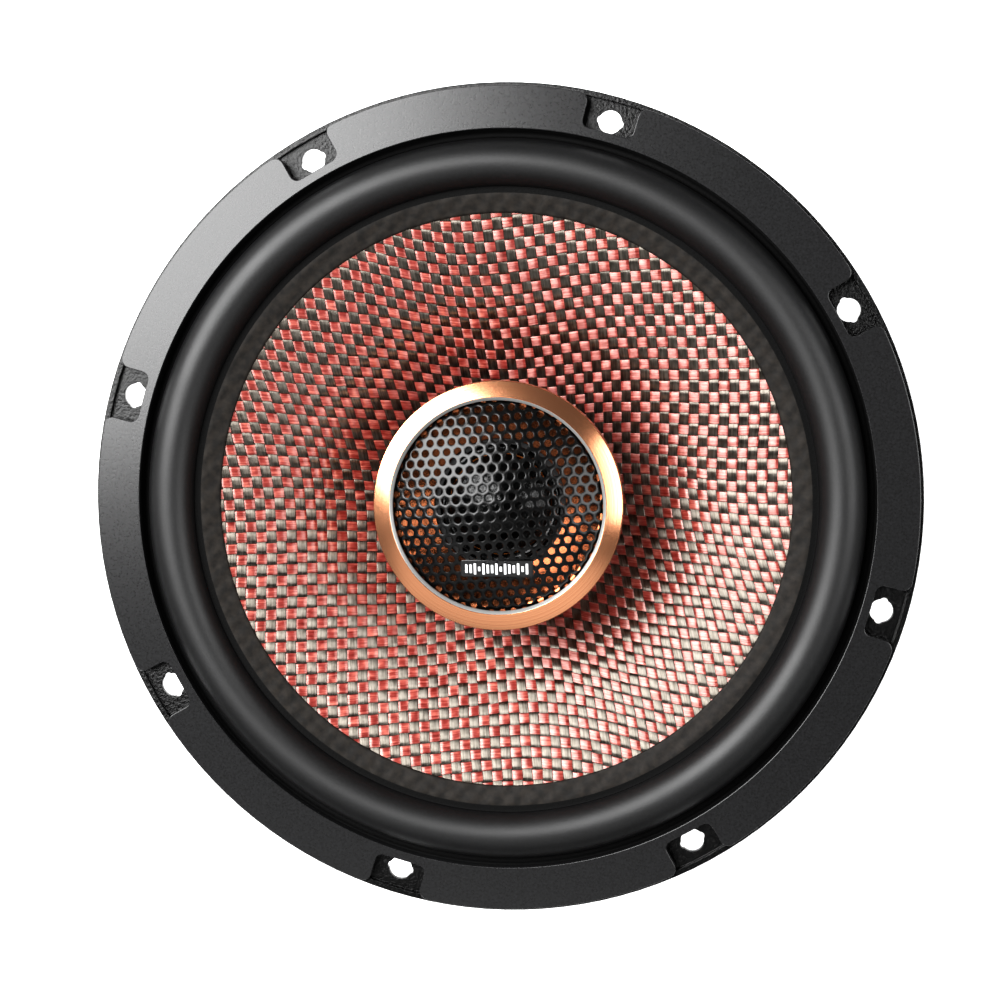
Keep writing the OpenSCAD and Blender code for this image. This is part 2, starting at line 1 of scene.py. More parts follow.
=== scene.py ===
# %% [markdown]
# # The looks of a coaxial car speaker
#
# A 165 mm car speaker has a woven cone, a rubber surround, a moulded gasket and a
# small copper-coloured tweeter on a post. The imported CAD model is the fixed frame:
# it says where each part is and how it moves. This lesson adds the surfaces that
# the eye looks for, one piece at a time, each worked out with numpy.

# %% Load the frame
import math

import bmesh
import bpy
import numpy as np
from mathutils import Matrix, Vector
from mathutils.geometry import tessellate_polygon


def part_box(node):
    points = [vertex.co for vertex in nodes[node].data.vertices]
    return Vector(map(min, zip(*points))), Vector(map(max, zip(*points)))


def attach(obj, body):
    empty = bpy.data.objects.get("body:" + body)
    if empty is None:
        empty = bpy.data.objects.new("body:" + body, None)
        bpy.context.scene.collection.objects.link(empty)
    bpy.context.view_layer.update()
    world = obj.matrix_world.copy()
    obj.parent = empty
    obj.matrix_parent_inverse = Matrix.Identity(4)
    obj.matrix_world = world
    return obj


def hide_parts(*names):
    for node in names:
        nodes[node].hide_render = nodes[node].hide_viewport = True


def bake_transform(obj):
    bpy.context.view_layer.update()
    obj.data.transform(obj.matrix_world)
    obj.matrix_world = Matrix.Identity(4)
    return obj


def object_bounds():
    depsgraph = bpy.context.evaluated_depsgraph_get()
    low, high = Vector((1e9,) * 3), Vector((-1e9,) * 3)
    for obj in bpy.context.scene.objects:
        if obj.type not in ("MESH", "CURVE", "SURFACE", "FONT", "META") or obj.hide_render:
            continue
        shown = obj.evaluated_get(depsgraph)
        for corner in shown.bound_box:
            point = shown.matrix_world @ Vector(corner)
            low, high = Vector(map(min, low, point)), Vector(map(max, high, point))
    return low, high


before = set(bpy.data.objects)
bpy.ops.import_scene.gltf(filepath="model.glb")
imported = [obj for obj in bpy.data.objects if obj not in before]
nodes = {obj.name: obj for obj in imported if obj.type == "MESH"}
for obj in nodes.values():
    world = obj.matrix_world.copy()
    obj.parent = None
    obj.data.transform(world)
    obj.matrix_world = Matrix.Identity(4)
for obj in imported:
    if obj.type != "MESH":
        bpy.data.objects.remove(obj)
cad_box = [list(corner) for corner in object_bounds()]
MM = 0.001
print("CAD nodes:", len(nodes), "box:", cad_box)


# %% [markdown]
# ## Reading sizes from the frame
#
# Nearly every part is round about the Z axis, so its lowest point, its highest
# point and its radius are enough to place a new surface on it.

# %% Sizes of a round CAD part
def reach(node):
    """Lowest z, highest z and outer radius of a CAD node that is round about Z."""
    low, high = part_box(node)
    return low.z, high.z, high.x


_, rim_top, flange_r = reach("basket")
gasket_low, gasket_top, gasket_r = reach("front_gasket")
_, _, surround_r = reach("surround")
bezel_low, bezel_high, bezel_r = reach("tweeter_bezel")
print("flange radius %.2f mm, bezel crest %.2f mm" % (flange_r / MM, bezel_high / MM))

# %% [markdown]
# ## The camera
#
# The view is taken from about 43 cm in front of the speaker, leaning a few degrees
# to the upper right of its axis. A camera is a place and three directions: right,
# up, and back towards the viewer. They are the columns of its matrix. The lens is
# as long as it takes to see a width of 200 mm at the speaker.

# %% Camera
CAMERA_DISTANCE = 430 * MM
CAMERA_LEAN = (math.radians(5.77), math.radians(4.34))
CAMERA_ROLL = math.radians(-0.3)
CAMERA_SHIFT = (0.81 * MM, -0.20 * MM)
VIEW_WIDTH = 199.76 * MM
SENSOR = 36.0

back = Vector((math.tan(CAMERA_LEAN[0]), math.tan(CAMERA_LEAN[1]), 1)).normalized()
right = Vector((0, 1, 0)).cross(back).normalized()
up = back.cross(right)
right, up = (
    math.cos(CAMERA_ROLL) * right + math.sin(CAMERA_ROLL) * up,
    math.cos(CAMERA_ROLL) * up - math.sin(CAMERA_ROLL) * right,
)
place = CAMERA_DISTANCE * back - CAMERA_SHIFT[0] * right - CAMERA_SHIFT[1] * up
camera_data = bpy.data.cameras.new("camera")
camera_data.sensor_width = SENSOR
camera_data.lens = SENSOR * CAMERA_DISTANCE / VIEW_WIDTH
camera_data.clip_start = 0.01
camera = bpy.data.objects.new("camera", camera_data)
camera.matrix_world = Matrix.Translation(place) @ Matrix((right, up, back)).transposed().to_4x4()
bpy.context.scene.collection.objects.link(camera)
bpy.context.scene.camera = camera
print("camera at", [round(v / MM, 1) for v in place], "mm, lens %.1f mm" % camera_data.lens)


# %% [markdown]
# ## Meshes from arrays
#
# A surface is a grid of points, and its faces join neighbouring points. The same
# two functions serve a turned ring, a tube and a woven strip. A grid may close on
# itself along its rows, its columns or both.

# %% Grids and meshes
def grid_quads(rows, columns, wrap_rows=False, wrap_columns=False):
    """Quads between neighbours of a grid whose point (i, j) is number i * columns + j."""
    i = np.arange(rows if wrap_rows else rows - 1)
    j = np.arange(columns if wrap_columns else columns - 1)
    i, j = (a.ravel() for a in np.meshgrid(i, j, indexing="ij"))
    below, beside = (i + 1) % rows, (j + 1) % columns
    corners = [i * columns + j, i * columns + beside, below * columns + beside, below * columns + j]
    return np.stack(corners, axis=1)


def new_mesh(name, points, faces, material, uv=None, weld=True, sharp=40, flat_level=False):
    """An object from points and faces. `uv` gives one (u, v) for each point.

    Points closer than a thousandth of a millimetre are merged, faces are turned
    outwards, and edges that bend more than `sharp` degrees stay crisp. With
    `flat_level`, level faces are shaded flat, so that a wide top has no false curves.
    """
    mesh = bpy.data.meshes.new(name)
    mesh.from_pydata(np.asarray(points).tolist(), [], np.asarray(faces).tolist())
    if uv is not None:
        layer = mesh.uv_layers.new(name="UVMap")
        loops = np.zeros(len(mesh.loops), np.int64)
        mesh.loops.foreach_get("vertex_index", loops)
        layer.data.foreach_set("uv", np.asarray(uv, np.float32)[loops].ravel())
    if weld:
        work = bmesh.new()
        work.from_mesh(mesh)
        bmesh.ops.remove_doubles(work, verts=work.verts, dist=0.001 * MM)
        bmesh.ops.dissolve_degenerate(work, edges=work.edges, dist=0.0005 * MM)
        bmesh.ops.recalc_face_normals(work, faces=work.faces)
        work.to_mesh(mesh)
        work.free()
    mesh.shade_smooth()
    mesh.set_sharp_from_angle(angle=math.radians(sharp))
    if flat_level:
        normals = np.zeros(len(mesh.polygons) * 3)
        mesh.polygons.foreach_get("normal", normals)
        mesh.polygons.foreach_set("use_smooth", np.abs(normals[2::3]) < 0.99999)
    mesh.materials.append(material)
    made = bpy.data.objects.new(name, mesh)
    bpy.context.scene.collection.objects.link(made)
    print("%-24s %6d faces" % (name, len(mesh.polygons)))
    return made


def join(*parts):
    """Several (points, faces) as one, with the face numbers moved along."""
    points, faces, start = [], [], 0
    for part_points, part_faces in parts:
        points.append(part_points)
        faces.append(part_faces + start)
        start += len(part_points)
    return np.concatenate(points), np.concatenate(faces)


def turned(profile, segments=256, closed=True):
    """An outline of (radius, z) points turned about Z. An open outline ends on the axis."""
    angle = np.linspace(0, 2 * np.pi, segments, endpoint=False)
    radius, z = np.asarray(profile, float).T
    grid = np.empty((segments, len(radius), 3))
    grid[..., 0] = np.outer(np.cos(angle), radius)
    grid[..., 1] = np.outer(np.sin(angle), radius)
    grid[..., 2] = z
    return grid.reshape(-1, 3), grid_quads(segments, len(radius), True, closed)


def rounded(corners, closed=True, steps=5):
    """An outline from corners (x, y, radius), each replaced by an arc that meets its two sides."""
    corners = np.asarray(corners, float)
    out, last = [], len(corners) - 1
    for i, (x, y, radius) in enumerate(corners):
        here = np.array((x, y))
        if radius == 0 or (not closed and i in (0, last)):
            out.append(here[None])
            continue
        a, b = corners[i - 1, :2] - here, corners[(i + 1) % len(corners), :2] - here
        a, b = a / np.linalg.norm(a), b / np.linalg.norm(b)
        half = math.acos(np.clip(a @ b, -1, 1)) / 2
        centre = here + (a + b) / np.linalg.norm(a + b) * radius / math.sin(half)
        start = here + a * radius / math.tan(half) - centre
        end = here + b * radius / math.tan(half) - centre
        t = np.linspace(0, 1, steps + 1)[:, None]
        sweep = math.pi - 2 * half
        arc = (np.sin((1 - t) * sweep) * start + np.sin(t * sweep) * end) / math.sin(sweep)
        out.append(centre + arc)
    return np.concatenate(out)


def smooth_route(route, steps=8):
    """Cubic stretches through the points. End slopes follow the neighbours, at the stretch's length."""
    p = np.asarray(route, float)
    way = np.gradient(p, axis=0)
    ahead = np.roll(p, -1, 0) - np.roll(p, 1, 0)
    way[1:-1] = ahead[1:-1]
    way /= np.linalg.norm(way, axis=1)[:, None]
    t = np.linspace(0, 1, steps, endpoint=False)[None, :, None]
    a, b = p[:-1, None], p[1:, None]
    span = np.linalg.norm(b - a, axis=2, keepdims=True)
    curve = (
        (2 * t**3 - 3 * t**2 + 1) * a
        + (t**3 - 2 * t**2 + t) * span * way[:-1, None]
        + (3 * t**2 - 2 * t**3) * b
        + (t**3 - t**2) * span * way[1:, None]
    )
    return np.concatenate([curve.reshape(-1, 3), p[-1:]])


def tube(path, radius, sides=12):
    """A round tube with domed ends, and its (u, v): u is the length in metres, v goes once round.

    Each ring's side direction is the one before it, made square to the path again.
    """
    path = np.asarray(path, float)
    way = np.gradient(path, axis=0)
    way /= np.linalg.norm(way, axis=1)[:, None]
    side = np.zeros_like(path)
    side[0] = np.cross(way[0], (0, 0, 1) if abs(way[0][2]) < 0.9 else (1, 0, 0))
    for i in range(len(path)):
        before = side[max(i - 1, 0)]
        side[i] = before - (before @ way[i]) * way[i]
        side[i] /= np.linalg.norm(side[i])
    cap = np.linspace(math.pi / 2, 0, 4, endpoint=False)
    first = [path[0] - way[0] * radius * math.sin(c) for c in cap]
    final = [path[-1] + way[-1] * radius * math.sin(c) for c in cap[::-1]]
    centre = np.concatenate([first, path, final])
    small = np.cos(cap)
    size = radius * np.concatenate([small, np.ones(len(path)), small[::-1]])
    side = np.concatenate([np.repeat(side[:1], 4, 0), side, np.repeat(side[-1:], 4, 0)])
    way = np.concatenate([np.repeat(way[:1], 4, 0), way, np.repeat(way[-1:], 4, 0)])
    other = np.cross(way, side)
    turn = np.linspace(0, 2 * np.pi, sides + 1)
    ring = np.cos(turn)[None, :, None] * side[:, None] + np.sin(turn)[None, :, None] * other[:, None]
    points = centre[:, None] + size[:, None, None] * ring
    length = np.concatenate([[0], np.cumsum(np.linalg.norm(np.diff(centre, axis=0), axis=1))])
    uv = np.stack(np.broadcast_arrays(length[:, None], turn[None] / (2 * np.pi)), axis=-1)
    return points.reshape(-1, 3), grid_quads(len(centre), sides + 1), uv.reshape(-1, 2)


# %% [markdown]
# ## Finishes
#
# A finish starts from what the real material is. Colours are the sRGB values that a
# person would pick from a chart, and Blender's shader wants linear light, so one
# function converts them. One more function adds a node with its settings and links.

# %% Colour and node helpers
def linear(chart_colour):
    """An sRGB hex colour as linear red, green, blue and alpha."""
    c = np.array([int(chart_colour[i:i + 2], 16) for i in (1, 3, 5)]) / 255
    c = np.where(c <= 0.04045, c / 12.92, ((c + 0.055) / 1.055) ** 2.4)
    return (*c, 1.0)


def plug(node, inputs):
    """Gives each named socket of a node its value, or a link from another node's output."""
    for key, value in inputs.items():
        if isinstance(value, bpy.types.NodeSocket):
            node.id_data.links.new(value, node.inputs[key])
        else:
            node.inputs[key].default_value = value


def add(tree, kind, inputs=None, **settings):
    """Adds one node with its settings, its values and its links."""
    made = tree.nodes.new(kind)
    for key, value in settings.items():
        setattr(made, key, value)
    plug(made, inputs or {})
    return made


def finish(name, colour, roughness, sockets=None):
    """A material with one Principled shader: its tree and its shader are returned too."""
    material = bpy.data.materials.new(name)
    material.use_nodes = True
    shader = material.node_tree.nodes["Principled BSDF"]
    plug(shader, {"Base Color": linear(colour), "Roughness": roughness, **(sockets or {})})
    return material, material.node_tree, shader


def ramp(tree, value, stops):
    """A colour ramp over `value`, from (place, chart colour) stops."""
    made = add(tree, "ShaderNodeValToRGB", {"Fac": value})
    while len(made.color_ramp.elements) < len(stops):
        made.color_ramp.elements.new(0.5)
    for element, (position, colour) in zip(made.color_ramp.elements, stops):
        element.position = position
        element.color = linear(colour)
    return made.outputs["Color"]


def dulled(tree, shader, value, glossy, dull):
    """Moves the roughness from `glossy` to `dull` as `value` goes from 0 to 1."""
    spread = add(tree, "ShaderNodeMapRange", {"Value": value, "To Min": glossy, "To Max": dull})
    plug(shader, {"Roughness": spread.outputs[0]})


def grain(tree, shader, size, dark, light, height=0.0, shine=None, stretch=(1, 1, 1)):
    """Noise whose grains are `size` metres across. It mixes two colours, raises the surface by
    `height` metres, and moves the roughness between the two values in `shine`."""
    coordinates = add(tree, "ShaderNodeTexCoord").outputs["Object"]
    place = add(tree, "ShaderNodeMapping", {"Vector": coordinates, "Scale": stretch}).outputs[0]
    specks = {"Vector": place, "Scale": 1 / size, "Detail": 4, "Roughness": 0.6}
    noise = add(tree, "ShaderNodeTexNoise", specks).outputs[0]
    plug(shader, {"Base Color": ramp(tree, noise, [(0.3, dark), (0.7, light)])})
    if shine:
        dulled(tree, shader, noise, *shine)
    if not height:
        return None
    bump = add(tree, "ShaderNodeBump", {"Height": noise, "Distance": height})
    plug(shader, {"Normal": bump.outputs[0]})
    return bump


def repaint(names, material):
    """Gives the slots of CAD nodes this finish. Their meshes are left as they are."""
    for name in names:
        for slot in nodes[name].material_slots:
            slot.material = material
    print("%-24s on %s" % (material.name, ", ".join(names)))


def coat(names, edge, finish_values, grain_values, stretch=(1, 1, 1)):
    """Makes a grained finish for CAD nodes and gives it to them. Their sharp edges look
    rounded by `edge` metres, under the grain's bump."""
    material, tree, shader = finish(*finish_values)
    bump = grain(tree, shader, *grain_values, stretch=stretch)
    if edge:
        bevel = add(tree, "ShaderNodeBevel", {"Radius": edge}, samples=6)
        plug(bump, {"Normal": bevel.outputs[0]})
    repaint(names, material)


def crossed_waves(tree, place, pitch_x, pitch_y):
    """Rows of bumps both ways: sin(2 pi x / pitch_x) times sin(2 pi y / pitch_y)."""
    split = add(tree, "ShaderNodeSeparateXYZ", {"Vector": place})
    waves = []
    for axis, pitch in (("X", pitch_x), ("Y", pitch_y)):
        turn = {0: split.outputs[axis], 1: 2 * math.pi / pitch}
        turn = add(tree, "ShaderNodeMath", turn, operation="MULTIPLY").outputs[0]
        waves.append(add(tree, "ShaderNodeMath", {0: turn}, operation="SINE").outputs[0])
    return add(tree, "ShaderNodeMath", {0: waves[0], 1: waves[1]}, operation="MULTIPLY").outputs[0]


# %% [markdown]
# ## Floor and light
#
# The speaker lies face up on a pale table. The key light is a large softbox at the
# upper left, the second a smaller one at the right. The table glows a little, as a
# light table does, so that the background stays pale round a dark object.

# %% Stage and lights
KEY_LIGHT = dict(azimuth=150, elevation=53, distance=0.7, size=(0.45, 0.7), power=12.8, shape="ELLIPSE")
SIDE_LIGHT = dict(azimuth=8, elevation=45, distance=0.75, size=(0.38, 0.42), power=3.5)
FILL_LIGHT = dict(azimuth=262, elevation=55, distance=0.9, size=(1.2, 0.5), power=1.45)
WORLD_LIGHT = 0.10
TABLE_HALF = 3.0
TABLE_GLOW = 0.55

scene = bpy.context.scene
scene.view_settings.view_transform = "Standard"
scene.view_settings.look = "Medium High Contrast"
world = bpy.data.worlds.new("studio")
world.use_nodes = True
plug(world.node_tree.nodes["Background"], {"Color": (1, 1, 1, 1), "Strength": WORLD_LIGHT})
scene.world = world


def softbox(name, azimuth, elevation, distance, size, power, shape="RECTANGLE"):
    """A flat light that faces the speaker from a compass direction and a height in degrees."""
    a, e = math.radians(azimuth), math.radians(elevation)
    out = Vector((math.cos(a) * math.cos(e), math.sin(a) * math.cos(e), math.sin(e)))
    light = bpy.data.lights.new(name, "AREA")
    light.shape = shape
    light.size, light.size_y = size
    light.energy = power
    lamp = bpy.data.objects.new(name, light)
    lamp.matrix_world = Matrix.Translation(out * distance) @ out.to_track_quat("Z", "Y").to_matrix().to_4x4()
    scene.collection.objects.link(lamp)
    print("%s: %.1f W at %.2f m" % (name, power, distance))


softbox("key_light", **KEY_LIGHT)
softbox("side_light", **SIDE_LIGHT)
softbox("fill_light", **FILL_LIGHT)

glow = {"Emission Color": (1, 1, 1, 1), "Emission Strength": TABLE_GLOW}
table_finish, _, _ = finish("pale_table", "#F4F4F4", 0.9, glow)
sides = (-TABLE_HALF, TABLE_HALF)
floor_points = [(x, y, cad_box[0][2]) for y in sides for x in sides]
new_mesh("table", floor_points, grid_quads(2, 2), table_finish, weld=False)

# %% [markdown]
# ## Painted steel basket
#
# The basket is pressed sheet steel under black powder coat, which dries with a fine
# pebbled skin: the shine breaks up into specks. Its CAD shape is right, so it keeps
# its mesh and gets the paint. The sheet's edges are softened in the shader.

# %% Basket paint
powder = ("black_powder_coat", "#020202", 0.12, {"Specular IOR Level": 0.25})
coat(["basket"], 0.25 * MM, powder, (0.6 * MM, "#010101", "#040404", 0.13 * MM, (0.08, 0.18)))

# %% [markdown]
# ## Moulded gasket
#
# A thick rubber ring covers the flange, with a pocket for each screw. Its top edges
# and the corners of each pocket are rounded by the mould. The outline is a closed
# path, and the same quarter-round profile is carried along it: the profile's points
# are offsets inwards from the path and heights below the top.

# %% Gasket shape
HOLE_COUNT = 8
HOLE_CLOCK = math.radians(29)
POCKET_HALF = 5.15 * MM
POCKET_BACK_R = 75.1 * MM
POCKET_CORNER = 1.5 * MM
PAD_CORNER = 1.8 * MM
GASKET_IN_R = 73.3 * MM
GASKET_EDGE = 0.16 * MM
GASKET_OUT_R = gasket_r - 0.5 * MM
FOOT_INSET = 1.2 * MM
LIP_GAP = 0.1 * MM


def gasket_outline():
    """Eight pads with a pocket between them, counter-clockwise.

    A pocket is a slot across the rim. Its side walls are parallel to the radius through
    its middle. A pad's edge is an arc of the outer radius. Every corner is an arc.
    """
    corners = []
    wall_r = math.sqrt(GASKET_OUT_R**2 - POCKET_HALF**2)
    half_turn = math.asin(POCKET_HALF / GASKET_OUT_R)
    pitch = 2 * math.pi / HOLE_COUNT
    for i in range(HOLE_COUNT):
        a = HOLE_CLOCK + i * pitch
        c, s = math.cos(a), math.sin(a)
        slot = [
            (wall_r, -POCKET_HALF, PAD_CORNER),
            (POCKET_BACK_R, -POCKET_HALF, POCKET_CORNER),
            (POCKET_BACK_R, POCKET_HALF, POCKET_CORNER),
            (wall_r, POCKET_HALF, PAD_CORNER),
        ]
        corners += [(x * c - y * s, x * s + y * c, r) for x, y, r in slot]
        for t in np.linspace(a + half_turn, a + pitch - half_turn, 26)[2:-2]:
            corners.append((GASKET_OUT_R * math.cos(t), GASKET_OUT_R * math.sin(t), 0))
    return rounded(corners)


def circle(radius, count=240):
    """(x, y) points at equal angles round the axis."""
    turn = np.linspace(0, 2 * np.pi, count, endpoint=False)
    return radius * np.stack([np.cos(turn), np.sin(turn)], axis=1)


def carried(outline, profile, inwards=1):
    """A profile of (offset inwards, z) points carried along a closed outline."""
    along = np.roll(outline, -1, 0) - np.roll(outline, 1, 0)
    along /= np.linalg.norm(along, axis=1)[:, None]
    inward = inwards * np.stack([-along[:, 1], along[:, 0]], axis=1)
    offset, z = np.asarray(profile, float).T
    flat = outline[:, None] + offset[None, :, None] * inward[:, None]
    points = np.concatenate([flat, np.broadcast_to(z[None, :, None], flat.shape[:2] + (1,))], axis=2)
    return points.reshape(-1, 3), grid_quads(len(outline), len(z), True, False), flat[:, -1]


def cap(outline, z, hole=None):
    """Triangles that fill a flat outline at height z, round a hole if there is one."""
    loops = [[Vector((x, y, 0)) for x, y in outline]]
    points = outline
    if hole is not None:
        loops.append([Vector((x, y, 0)) for x, y in hole])
        points = np.concatenate([outline, hole])
    triangles = np.array(tessellate_polygon(loops))
    return np.column_stack([points, np.full(len(points), z)]), triangles


def edge_round(radius, top, steps=4):
    """A quarter circle from the wall to the top, and a narrow level strip beyond it."""
    t = np.linspace(0, math.pi / 2, steps + 1)
    arc = np.column_stack([radius * (1 - np.cos(t)), top - radius * (1 - np.sin(t))])
    return np.concatenate([arc, [(1.4 * radius, top)]])


def as_triangles(faces):
    """Each quad split along its first diagonal."""
    return np.concatenate([faces[:, [0, 1, 2]], faces[:, [0, 2, 3]]])


# The gasket's rubber takes an even, fine grain from its mould, which spreads the light.
gasket_finish, tree, shader = finish("moulded_gasket_rubber", "#1A1A1B", 0.2, {"Specular IOR Level": 0.36})
grain(tree, shader, 0.45 * MM, "#161616", "#202021", 0.007 * MM, (0.16, 0.24))

# Its foot stands inside the flange's upturned rim, and its top reaches out over the rim.
lip_z = rim_top + LIP_GAP
foot = GASKET_OUT_R - (flange_r - FOOT_INSET)
step = [(foot, gasket_low), (foot, lip_z), (0, lip_z)]
outer_profile = np.concatenate([step, edge_round(GASKET_EDGE, gasket_top)])
outline = gasket_outline()
outer_wall, outer_faces, outer_top = carried(outline, outer_profile)
inner_profile = np.concatenate([[(0, gasket_low)], edge_round(GASKET_EDGE, gasket_top)])
inner_wall, inner_faces, inner_top = carried(circle(GASKET_IN_R), inner_profile, -1)
foot_outline = outer_wall.reshape(len(outline), -1, 3)[:, 0, :2]
skin = join(
    (outer_wall, as_triangles(outer_faces)),
    (inner_wall, as_triangles(inner_faces)),
    cap(outer_top, gasket_top, inner_top),
    cap(foot_outline, gasket_low, circle(GASKET_IN_R)),
)
gasket = new_mesh("moulded_gasket", *skin, gasket_finish, sharp=50, flat_level=True)
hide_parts("front_gasket")
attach(gasket, "frame")

# %% [markdown]
# ## Rubber surround
#
# The surround is one half-roll of rubber that lets the cone move. Its inner edge is
# a band glued over the cloth, and its outer edge a flange under the gasket. The
# profile is a list of arcs turned about Z.

# %% Surround shape
CONE_EDGE_R = 61.8 * MM
CONE_EDGE_Z = 3.2 * MM
CONE_DEPTH = 22 * MM
CONE_NECK_R = 12.85 * MM
CONE_STRAIGHT = 0.41


def cone_height(radius):
    """Height of the cone's front face: a straight fall and a squared one, from edge to neck."""
    t = (CONE_EDGE_R - radius) / (CONE_EDGE_R - CONE_NECK_R)
    return CONE_EDGE_Z - CONE_DEPTH * (CONE_STRAIGHT * t + (1 - CONE_STRAIGHT) * t**2)


BAND_IN_R = 57.0 * MM
BAND_OUT_R = 60.4 * MM
VALLEY_IN_R, VALLEY_OUT_R = 61.1 * MM, 62.2 * MM
ROLL_CENTRE = np.array((66.8 * MM, 3.0 * MM))
ROLL_R = 4.7 * MM
ROLL_OUT_R = 71.4 * MM
ROLL_FROM, ROLL_TO = 172, 8
GROOVE_IN_R = 71.6 * MM
RUBBER = 0.7 * MM
FOOT_Z = 1.2 * MM
BAND_LIFT = 0.6 * MM


def surround_profile():
    """Clockwise from the band's inner edge: the band, a fillet, the roll, its foot, and back below."""
    band_r = np.linspace(BAND_IN_R + 0.15 * MM, BAND_OUT_R, 10)
    band = np.column_stack([band_r, cone_height(band_r) + BAND_LIFT])
    fillet = np.array([(60.9, 3.55), (61.4, 3.56), (61.8, 3.575), (62.0, 3.61)]) * MM
    turn = np.radians(np.linspace(ROLL_FROM, ROLL_TO, 44))
    arc = np.column_stack([np.cos(turn), np.sin(turn)])
    inner = ROLL_CENTRE + (ROLL_R - RUBBER) * arc[turn < math.radians(ROLL_FROM - 2)]
    groove = np.array([(0, 2.2), (0.15, 1.45), (0.5, 1.28), (1.1, 1.28), (1.35, 1.6), (1.6, 1.9)]) * MM
    flange = [(surround_r, FOOT_Z + RUBBER), (surround_r, FOOT_Z), (ROLL_OUT_R - 0.2 * MM, FOOT_Z)]
    under_r = np.linspace(CONE_EDGE_R - 0.2 * MM, BAND_IN_R, 8)
    under = np.column_stack([under_r, cone_height(under_r) + 0.02 * MM])
    edge = [(BAND_IN_R, cone_height(BAND_IN_R) + 0.75 * BAND_LIFT)]
    front = [band, fillet, ROLL_CENTRE + ROLL_R * arc, groove + (GROOVE_IN_R, 0), flange]
    return np.concatenate([*front, inner[::-1], under, edge])


# %% Surround finishes
# Butyl rubber is black, with a fine grain and a broad sheen that is duller in places.
rubber, tree, shader = finish("butyl_rubber", "#0C0C0C", 0.47, {"Specular IOR Level": 0.42})
place = add(tree, "ShaderNodeTexCoord").outputs["Object"]
speck = add(tree, "ShaderNodeTexNoise", {"Vector": place, "Scale": 1 / (0.5 * MM), "Detail": 5}).outputs[0]
cloudy = add(tree, "ShaderNodeTexNoise", {"Vector": place, "Scale": 1 / (9 * MM), "Detail": 3}).outputs[0]
dulled(tree, shader, cloudy, 0.42, 0.52)
bump = add(tree, "ShaderNodeBump", {"Height": speck, "Distance": 0.016 * MM})
dust = ramp(tree, speck, [(0.35, "#0A0A0A"), (0.72, "#121213")])
plug(shader, {"Base Color": dust, "Normal": bump.outputs[0]})

# The band is the same rubber, brushed with glue: it is duller, and the cloth under it
# shows through as rows of low bumps, about 2 mm apart and bent by 1 mm here and there.
band_rubber, tree, shader = finish("glued_rubber_band", "#17140F", 0.6, {"Specular IOR Level": 0.16})
place = add(tree, "ShaderNodeTexCoord").outputs["Object"]
patchy = add(tree, "ShaderNodeTexNoise", {"Vector": place, "Scale": 1 / (1.4 * MM), "Detail": 4}).outputs[0]
slow = add(tree, "ShaderNodeTexNoise", {"Vector": place, "Scale": 1 / (7 * MM)}).outputs["Color"]
bend = add(tree, "ShaderNodeVectorMath", {0: slow, 1: (2 * MM, 2 * MM, 0)}, operation="MULTIPLY").outputs[0]
bent = add(tree, "ShaderNodeVectorMath", {0: place, 1: bend}, operation="ADD").outputs[0]
weave = crossed_waves(tree, bent, 4.0 * MM, 4.4 * MM)
low = add(tree, "ShaderNodeBump", {"Height": weave, "Distance": 0.07 * MM}).outputs[0]
fine = add(tree, "ShaderNodeBump", {"Height": patchy, "Distance": 0.05 * MM, "Normal": low}).outputs[0]
plug(shader, {"Base Color": ramp(tree, patchy, [(0.35, "#100E0C"), (0.7, "#211D19")]), "Normal": fine})

# The roll's valley beside the band and the groove under the gasket's edge get a duller, darker black than
# the rubber: painted shade in those creases.
crease_shade_black, tree, shader = finish("painted_shade_crease_black", "#050505", 0.7, {"Specular IOR Level": 0.1})
grain(tree, shader, 0.6 * MM, "#030303", "#080808", 0.08 * MM, (0.6, 0.8))

# %% Surround piece
surround = new_mesh("rubber_surround", *turned(surround_profile(), 288), rubber, sharp=60)
surround.data.materials.append(band_rubber)
surround.data.materials.append(crease_shade_black)
middle = np.zeros(len(surround.data.polygons) * 3)
surround.data.polygons.foreach_get("center", middle)
middle_r, middle_z = np.hypot(middle[::3], middle[1::3]), middle[2::3]
# Slot 0 is the rubber, 1 the band and 2 the painted shade of the creases.
in_band = middle_r < VALLEY_IN_R
# These faces, in the valley and in the groove, take the painted crease shade.
in_crease_shade = (middle_r > VALLEY_IN_R) & (middle_r < VALLEY_OUT_R)
in_crease_shade |= (middle_r > GROOVE_IN_R + 0.02 * MM) & (middle_z < 2.0 * MM)
surround.data.polygons.foreach_set("material_index", (in_band + 2 * in_crease_shade).astype(np.int32))


def blend_across(piece):
    """Bakes the piece's placement into its mesh and reads its points into an array; nothing
    more is done with them."""
    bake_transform(piece)
    points = np.empty(len(piece.data.vertices) * 3)
    piece.data.vertices.foreach_get("co", points)


blend_across(surround)
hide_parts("surround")

# %% [markdown]
# ## Woven cone
#
# The cone is a plain weave of flat glass tows. It is woven flat and then pressed into
# a cone, which draws it in along its own two directions and skews it a little, so the
# rows bow between them. Each tow is a lens-shaped strip. Along its length it goes over
# one crossing tow and under the next: a cosine, flattened by tanh, does that, with
# opposite signs for neighbours. One set of tows is red and the other dark grey. Both
# shine mostly across their fibres, so the shine needs the tow's own direction, which
# is the u of its UV map.

